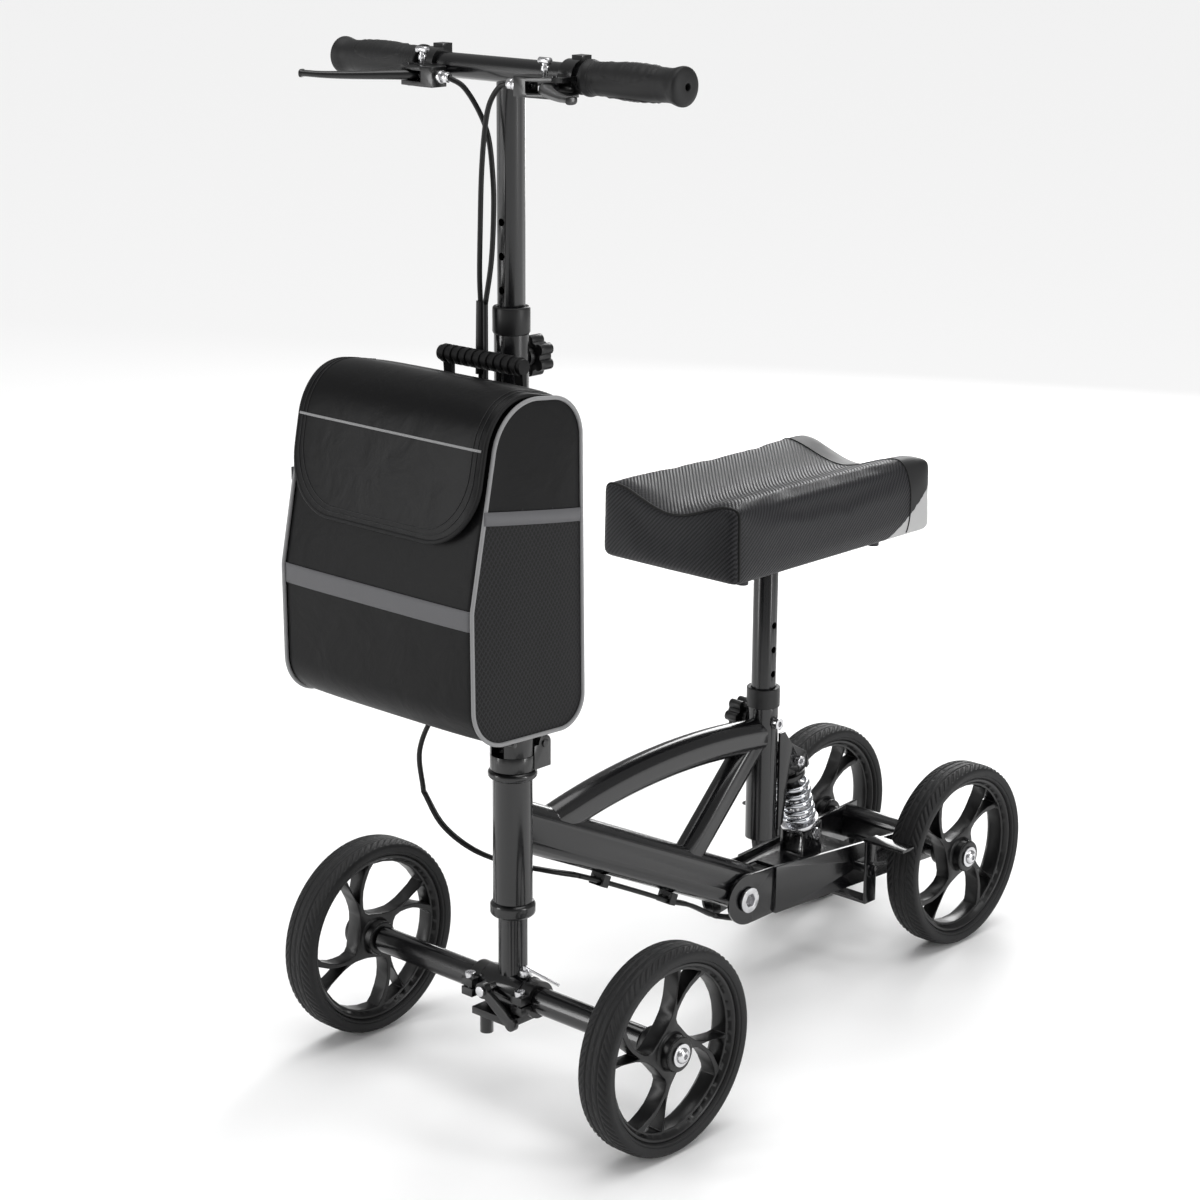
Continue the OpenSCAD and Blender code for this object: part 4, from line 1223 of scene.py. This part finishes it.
    def seams(self, thing: bpy.types.Object) -> None:
        """Cord seams: round the front panel, and at the joint of the rear band.

        Args:
            thing: the cushion.
        """
        s = self.size
        rows = (("front", s.front - 6.5, 1.5, -0.5), ("rear", s.back + s.band, 0.8, 0.1))
        for name, x, radius, lift in rows:
            path = spline(self.loop_at(thing, x, lift), 3)
            cord = sweep(f"knee_cushion_seam_{name}", path, circle(radius, 12), (1, 0, 0))
            dress(cord, Body.SEAT, SHOP.plain(Paint.SEAM))

    def build(self) -> None:
        """Build the cushion, its cover and its seams."""
        thing = self.block()
        self.inflate(thing)
        self.cut(thing)
        self.cover(thing)
        self.seams(thing)
        modifier(thing, "SUBSURF", levels=1, render_levels=1)
        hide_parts("knee_cushion")
        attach(thing, Body.SEAT.value)


# ---------------------------------------------------------------- bag


@dataclass(frozen=True)
class BagSize:
    """Sizes of the bag, in millimetres.

    Attributes:
        half: half its width between the side seams.
        flap_half: half the flap's width.
        flap_corner: radius of the flap's lower corners.
        flap_low: height of the flap's lower edge.
        flap_thick: thickness of the flap.
        hinge_x: the flap's hinge, ahead of the front axle.
        stripe_low: lower edge of the stripe across the front.
        stripe_high: its upper edge.
        piping: radius of the piping cord.
    """

    half: float = 120.0
    flap_half: float = 116.0
    flap_corner: float = 56.0
    flap_low: float = 584.0
    flap_thick: float = 3.0
    hinge_x: float = 61.0
    stripe_low: float = 516.0
    stripe_high: float = 534.0
    piping: float = 1.9


class Bag:
    """Front bag: body, side panels with piping and net pocket, flap with binding, stripes and handle."""

    DISCS = ((57, 432, 27), (128, 446, 38), (136, 530, 31), (92, 658, 49), (72, 667, 38))
    MIDDLE = at(97, 0, 560)
    POCKET_SLOPE = 0.14

    def __init__(self, size: BagSize = BagSize()) -> None:
        """Keep the sizes and work out the side outline.

        Args:
            size: the bag's sizes.
        """
        self.size = size
        self.outline = self.side_outline(320)

    def side_outline(self, count: int) -> np.ndarray:
        """Side outline: the furthest reach of five discs in each direction, spaced evenly along its length.

        It starts at the back of the top and runs over the top, down the front, under and up the back.

        Args:
            count: number of points.

        Returns:
            count by 2 millimetres, ahead of the front axle and above the floor.
        """
        a = np.linspace(0, 2 * math.pi, 4000, endpoint=False)
        d = np.stack([np.cos(a), np.sin(a)], -1)
        c = np.array(self.DISCS, float)
        reach = d @ c[:, :2].T + c[:, 2]
        best = reach.argmax(1)
        points = c[best, :2] + c[best, 2:] * d
        points = points[::-1]
        start = int(np.argmin(np.hypot(points[:, 0] - self.size.hinge_x, points[:, 1] - 706)))
        points = np.roll(points, -start, axis=0)
        closed = np.vstack([points, points[:1]])
        step = np.r_[0, np.cumsum(np.linalg.norm(np.diff(closed, axis=0), axis=1))]
        want = np.linspace(0, step[-1], count, endpoint=False)
        return np.stack([np.interp(want, step, closed[:, 0]), np.interp(want, step, closed[:, 1])], -1)

    def normals(self) -> np.ndarray:
        """Outward directions of the side outline.

        Returns:
            count by 2 unit vectors.
        """
        t = np.roll(self.outline, -1, 0) - np.roll(self.outline, 1, 0)
        n = np.stack([-t[:, 1], t[:, 0]], -1)
        return n / np.linalg.norm(n, axis=1)[:, None]

    def lengths(self) -> np.ndarray:
        """Distance along the outline to each of its points.

        Returns:
            count millimetres.
        """
        d = np.linalg.norm(np.roll(self.outline, -1, 0) - self.outline, axis=1)
        return np.r_[0, np.cumsum(d)[:-1]]

    def belly(self, y: np.ndarray) -> np.ndarray:
        """How far the cloth bulges between the side seams: most in the middle, nothing at the seam.

        Args:
            y: distance from the middle.

        Returns:
            Millimetres outwards.
        """
        w = np.clip(np.abs(y) / self.size.half, 0, 1)
        return 1.6 * (1 - w**4) - 2.2 * np.clip((w - 0.965) / 0.035, 0, 1) ** 2

    def body(self) -> None:
        """Main panel round the outline from seam to seam, and the two side panels, with their cloths."""
        s = self.size
        y = np.concatenate([[-s.half], np.linspace(-s.half + 3, s.half - 3, 60), [s.half]])
        n = self.normals()
        out = self.belly(y)
        x = self.outline[:, :1] + n[:, :1] * out[None, :]
        z = self.outline[:, 1:] + n[:, 1:] * out[None, :]
        yy = np.repeat(y[None, :], len(x), 0)
        points = np.stack([FRONT + x / 1000, yy / 1000, z / 1000], -1).reshape(-1, 3)
        uv = np.stack([yy / 1000, np.repeat(self.lengths()[:, None], len(y), 1) / 1000], -1).reshape(-1, 2)
        faces = grid_faces(len(x), len(y), wrap_rows=True)
        panel = new_mesh("bag_main_panel", points, faces, uv)
        face_away(panel, self.MIDDLE, (1, 0, 1))
        modifier(panel, "SOLIDIFY", thickness=0.002, offset=-1.0)
        dress(panel, Body.STEM, SHOP.woven("coated_polyester_oxford", "0b0b0c", 0.45, 1.1, 0.06),
              ["bag_body"])
        for side in (1, -1):
            self.side_panel(side)
            self.piping(side)

    def side_panel(self, side: int) -> None:
        """Side panel: rings of the outline drawn in towards its middle, bulging outwards.

        Args:
            side: 1 for the left, -1 for the right.
        """
        s = self.size
        centre = np.array([97.0, 555.0])
        k = np.array([1.0, 0.985, 0.96, 0.92, 0.86, 0.78, 0.68, 0.56, 0.43, 0.3, 0.16, 0.03])
        ring = centre + k[:, None, None] * (self.outline - centre)[None]
        inner = self.normals()[None] * -1.2 * (k[:, None, None] > 0.99)
        ring = ring + inner
        bulge = 3.4 * (1 - k**3)
        yy = side * (s.half + 0.2 + np.repeat(bulge[:, None], len(self.outline), 1))
        points = np.stack([FRONT + ring[..., 0] / 1000, yy / 1000, ring[..., 1] / 1000], -1).reshape(-1, 3)
        uv = (ring / 1000).reshape(-1, 2)
        faces = grid_faces(len(k), len(self.outline), wrap_cols=True)
        last = (len(k) - 1) * len(self.outline) + np.arange(len(self.outline))
        points, faces = capped(points, faces, last, False)
        uv = np.vstack([uv, uv[-len(self.outline):].mean(0)])
        thing = new_mesh(f"bag_side_panel_{'left' if side > 0 else 'right'}", points, faces, uv)
        mesh = thing.data
        face_away(thing, self.MIDDLE, (0, 1, 0))
        mesh.materials.append(SHOP.woven("coated_polyester_oxford", "0b0b0c", 0.45, 1.1, 0.06))
        # 040404 is the black cloth seen through the net, darkened as painted shade inside the pocket.
        mesh.materials.append(SHOP.net("polyester_pocket_net", "1d1d1f", "040404", 3.4))
        middle = np.empty(len(mesh.polygons) * 3)
        mesh.polygons.foreach_get("center", middle)
        x, z = middle[0::3] - FRONT, middle[2::3]
        edge = 605 + self.POCKET_SLOPE * (x * 1000 - 97)
        mesh.polygons.foreach_set("material_index", (z * 1000 < edge).astype(np.int32))
        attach(thing, Body.STEM.value)
        log.info("%s built", thing.name)

    def piping(self, side: int) -> None:
        """Piping cord along the seam between the main panel and one side panel.

        Args:
            side: 1 for the left, -1 for the right.
        """
        s = self.size
        n = self.normals()
        ring = self.outline + 0.6 * n
        path = np.stack([FRONT + ring[:, 0] / 1000, np.full(len(ring), side * (s.half + 0.6) / 1000),
                         ring[:, 1] / 1000], -1)
        a = np.linspace(0, 2 * math.pi, 12, endpoint=False)
        out = np.stack([n[:, 0], np.zeros(len(n)), n[:, 1]], -1)
        r = s.piping / 1000
        points = path[:, None] + r * (np.cos(a)[None, :, None] * out[:, None]
                                      + np.sin(a)[None, :, None] * np.array([0.0, 1.0, 0.0]))
        thing = new_mesh(f"bag_piping_{'left' if side > 0 else 'right'}", points.reshape(-1, 3),
                         grid_faces(len(path), 12, wrap_rows=True, wrap_cols=True))
        face_outwards(thing)
        dress(thing, Body.STEM, SHOP.plain(Paint.PIPING))

    def front_stripe(self) -> None:
        """Reflective tape sewn across the front of the bag between two heights, 0.9 off the main panel."""
        size = self.size
        z = self.outline[:, 1]
        front = np.nonzero((self.outline[:, 0] > 110) & (z > 430) & (z < 700))[0]
        order = front[np.argsort(z[front])]
        want = np.linspace(size.stripe_low, size.stripe_high, 6)
        normals = self.normals()
        px = np.interp(want, z[order], self.outline[order, 0])
        nx = np.interp(want, z[order], normals[order, 0])
        nz = np.interp(want, z[order], normals[order, 1])
        y = np.linspace(1 - size.half, size.half - 1, 60)
        out = 0.9 + self.belly(y)
        x = px[:, None] + nx[:, None] * out
        h = want[:, None] + nz[:, None] * out
        across = np.repeat(y[None], len(want), 0)
        points = np.stack([FRONT + x / 1000, across / 1000, h / 1000], -1).reshape(-1, 3)
        uv = np.stack([across, h], -1).reshape(-1, 2) / 1000
        thing = new_mesh("bag_front_stripe", points, grid_faces(len(want), len(y)), uv)
        face_away(thing, self.MIDDLE, (1, 0, 1))
        modifier(thing, "SOLIDIFY", thickness=0.0008, offset=0.0)
        dress(thing, Body.STEM, reflective())

    def flap_end(self, y: np.ndarray, low: float) -> np.ndarray:
        """Height of the flap's lower edge: level in the middle, with a round corner at each side.

        Args:
            y: distance from the middle.
            low: height in the middle.

        Returns:
            Heights.
        """
        s = self.size
        over = np.clip(np.abs(y) - (s.flap_half - s.flap_corner), 0, s.flap_corner)
        return low + s.flap_corner - np.sqrt(np.maximum(s.flap_corner**2 - over**2, 0))

    def flap_point(self, y: np.ndarray, along: np.ndarray, lift: float) -> np.ndarray:
        """Points on the flap, which stands further off the bag as it comes over the top and down the front.

        It stands 3.2 off at the hinge and 9.8 off after 66, comes back by 2.4 lower down, bulges 1.4 more in
        its middle, and turns in by 1.5 along its edge.

        Args:
            y: distances from the middle.
            along: distances along the outline from the hinge.
            lift: distance above the flap's outer face.

        Returns:
            Points in metres.
        """
        length, n = self.lengths(), self.normals()
        ramp = np.clip((along - 4) / 62, 0, 1)
        fall = np.clip((along - 120) / 120, 0, 1)
        w = np.clip(np.abs(y) / self.size.flap_half, 0, 1)
        off = 3.2 + 6.6 * ramp * ramp * (3 - 2 * ramp) - 2.4 * fall + 1.4 * (1 - w**4) - 1.5 * w**14 + lift
        x = np.interp(along, length, self.outline[:, 0]) + np.interp(along, length, n[:, 0]) * off
        z = np.interp(along, length, self.outline[:, 1]) + np.interp(along, length, n[:, 1]) * off
        return np.stack([FRONT + x / 1000, y / 1000, z / 1000], -1)

    def along_for(self, z: np.ndarray) -> np.ndarray:
        """Distance along the outline at which the front reaches a height.

        Args:
            z: heights.

        Returns:
            Distances in millimetres.
        """
        length = self.lengths()
        run = np.nonzero((length < 400) & (self.outline[:, 0] > 100))[0]
        zz, ll = self.outline[run, 1], length[run]
        order = np.argsort(zz)
        return np.interp(z, zz[order], ll[order])

    def flap(self) -> None:
        """Flap: from the hinge over the top and down the front to its rounded lower edge, bound with tape."""
        s = self.size
        y = s.flap_half * np.sin(np.linspace(-math.pi / 2, math.pi / 2, 71))
        end = self.along_for(self.flap_end(y, s.flap_low))
        t = np.linspace(0, 1, 70)
        along = 1.0 + t[:, None] * (end - 1.0)[None, :]
        yy = np.repeat(y[None], len(t), 0)
        points = self.flap_point(yy, along, 0.0).reshape(-1, 3)
        uv = np.stack([yy, along], -1).reshape(-1, 2) / 1000
        thing = new_mesh("bag_flap_look", points, grid_faces(len(t), len(y)), uv)
        face_away(thing, self.MIDDLE, (1, 0, 1))
        modifier(thing, "SOLIDIFY", thickness=s.flap_thick / 1000, offset=-1.0)
        dress(thing, Body.FLAP, SHOP.woven("smooth_coated_nylon", "0d0d0e", 0.38, 0.8, 0.03),
              ["bag_flap"])
        self.binding(y)
        self.flap_piping()

    def binding(self, y: np.ndarray) -> None:
        """Binding tape folded over the flap's free edge, and two rows of stitches beside it.

        Args:
            y: distances from the middle, one per point of the edge.
        """
        s = self.size
        side_along = np.linspace(4, float(self.along_for(self.flap_end(y[:1], s.flap_low))[0]), 40)[:-1]
        edge_y = np.concatenate([np.full(39, -s.flap_half), y, np.full(39, s.flap_half)])
        edge_l = np.concatenate([side_along, self.along_for(self.flap_end(y, s.flap_low)), side_along[::-1]])
        path = self.flap_point(edge_y, edge_l, -1.5)
        thing = sweep("bag_flap_binding", path, circle(2.3, 12), (1, 0, 0))
        dress(thing, Body.FLAP, SHOP.plain(Paint.BINDING))
        for row, inset in (("outer", 6.0), ("inner", 11.0)):
            shrink = (s.flap_half - inset) / s.flap_half
            yy = edge_y * shrink
            end = self.along_for(self.flap_end(np.clip(edge_y, -s.flap_half, s.flap_half), s.flap_low))
            ll = np.minimum(edge_l, end - inset * 0.9)
            line = self.flap_point(yy, ll, 0.15)
            seam = sweep(f"bag_flap_stitch_{row}", line, circle(0.45, 8), (1, 0, 0))
            dress(seam, Body.FLAP, SHOP.plain(Paint.THREAD))

    def flap_piping(self) -> None:
        """Grey piping line across the flap."""
        s = self.size
        y = np.linspace(-s.flap_half + 2, s.flap_half - 2, 60)
        line = self.flap_point(y, self.along_for(np.full(len(y), 668.0)), 0.5)
        thing = sweep("bag_flap_piping", line, circle(1.2, 10), (1, 0, 0))
        dress(thing, Body.FLAP, SHOP.plain(Paint.PIPING))

    def side_stripe(self, side: int) -> None:
        """Reflective tape along the top of the net pocket on one side panel.

        Args:
            side: 1 for the left, -1 for the right.
        """
        x = np.linspace(34, 154, 40)
        mid = 605.5 + self.POCKET_SLOPE * (x - 97)
        points = []
        for h in (-6.0, 6.0):
            k = np.clip(np.abs(x - 97) / 62, 0, 1)
            points.append(np.stack([FRONT + x / 1000, side * (self.size.half + 1.6 + 2.6 * (1 - k**3)) / 1000,
                                    (mid + h) / 1000], -1))
        grid = np.stack(points, 0)
        uv = np.stack([np.repeat(x[None], 2, 0), grid[..., 2] * 1000], -1).reshape(-1, 2) / 1000
        thing = new_mesh(f"bag_side_stripe_{'left' if side > 0 else 'right'}", grid.reshape(-1, 3),
                         grid_faces(2, len(x)), uv)
        modifier(thing, "SOLIDIFY", thickness=0.0008, offset=0.0)
        dress(thing, Body.STEM, reflective())

    def build(self) -> None:
        """Build the whole bag."""
        self.body()
        self.flap()
        self.front_stripe()
        for side in (1, -1):
            self.side_stripe(side)
        Hardware().piece(Trim("bag_webbing", Paint.BINDING, "bag_cloth"))


# ---------------------------------------------------------------- studio


class Studio:
    """Floor, lights and camera."""

    def build(self) -> None:
        """Set the floor, the lights and the camera."""
        self.floor()
        self.lights()
        self.camera()

    def floor(self) -> None:
        """Plain level floor, wide enough to fill the view behind the object."""
        reach, below = 45.0, -0.0005
        edge = np.linspace(-reach, reach, 16)
        x, y = np.meshgrid(edge, edge, indexing="ij")
        points = np.stack([x, y, np.full_like(x, below)], -1).reshape(-1, 3)
        thing = new_mesh("studio_floor", points, grid_faces(len(edge), len(edge)))
        face_away(thing, np.array([0.0, 0.0, -1.0]))
        thing.data.materials.append(SHOP.plain(Paint.FLOOR))

    def lamp(self, name: str, place: Sequence[float], aim: Sequence[float], size: tuple[float, float],
             power: float) -> None:
        """Add one rectangular soft light.

        Args:
            name: lamp name.
            place: where it hangs.
            aim: what it points at.
            size: its width and height.
            power: watts.
        """
        data = bpy.data.lights.new(name, "AREA")
        data.shape, data.energy = "RECTANGLE", power
        data.size, data.size_y = size
        thing = bpy.data.objects.new(name, data)
        bpy.context.scene.collection.objects.link(thing)
        thing.location = place
        thing.rotation_mode = "QUATERNION"
        thing.rotation_quaternion = (Vector(aim) - Vector(place)).to_track_quat("-Z", "Y")

    def lights(self) -> None:
        """Dim white surroundings, a wide soft sky light from above and a tall strip on each side."""
        world = bpy.data.worlds.new("studio")
        world.use_nodes = True
        world.node_tree.nodes["Background"].inputs["Color"].default_value = (1.0, 1.0, 1.0, 1.0)
        world.node_tree.nodes["Background"].inputs["Strength"].default_value = 0.32
        bpy.context.scene.world = world
        bpy.context.scene.view_settings.view_transform = "Standard"
        aim = (0.0, 0.0, 0.45)
        sky = bpy.data.lights.new("sky", "SUN")
        sky.energy, sky.angle = 2.1, math.radians(62)
        above = bpy.data.objects.new("sky", sky)
        bpy.context.scene.collection.objects.link(above)
        self.lamp("strip_left", (2.4, -1.5, 1.1), aim, (0.5, 2.0), 22)
        self.lamp("strip_right", (-0.5, 2.9, 1.2), aim, (0.6, 2.2), 34)
        self.lamp("rim", (-2.4, -1.2, 1.6), aim, (0.8, 2.0), 38)

    def camera(self) -> None:
        """Long-lens camera, 42.6 degrees round from the front and looking 15.9 degrees downwards."""
        data = bpy.data.cameras.new("camera")
        data.sensor_width, data.lens = 36.0, 84.6
        data.clip_start, data.clip_end = 0.1, 60.0
        thing = bpy.data.objects.new("camera", data)
        bpy.context.scene.collection.objects.link(thing)
        turn, rise, roll = math.radians(42.6), math.radians(15.88), math.radians(0.36)
        back = Vector((math.cos(turn) * math.cos(rise), math.sin(turn) * math.cos(rise), math.sin(rise)))
        right = (-back).cross(Vector((0, 0, 1))).normalized()
        up = right.cross(-back)
        tilt_right = math.cos(roll) * right + math.sin(roll) * up
        tilt_up = -math.sin(roll) * right + math.cos(roll) * up
        basis = Matrix((tilt_right, tilt_up, back)).transposed().to_4x4()
        thing.matrix_world = Matrix.Translation((2.04648, 1.75432, 1.19937)) @ basis
        bpy.context.scene.camera = thing


def main() -> None:
    """Build the object and its studio."""
    Hardware().build()
    Wheels().build()
    Handlebar().build()
    Cables().build()
    Shock().build()
    Cushion().build()
    Bag().build()
    Studio().build()


if __name__ == "__main__":
    main()
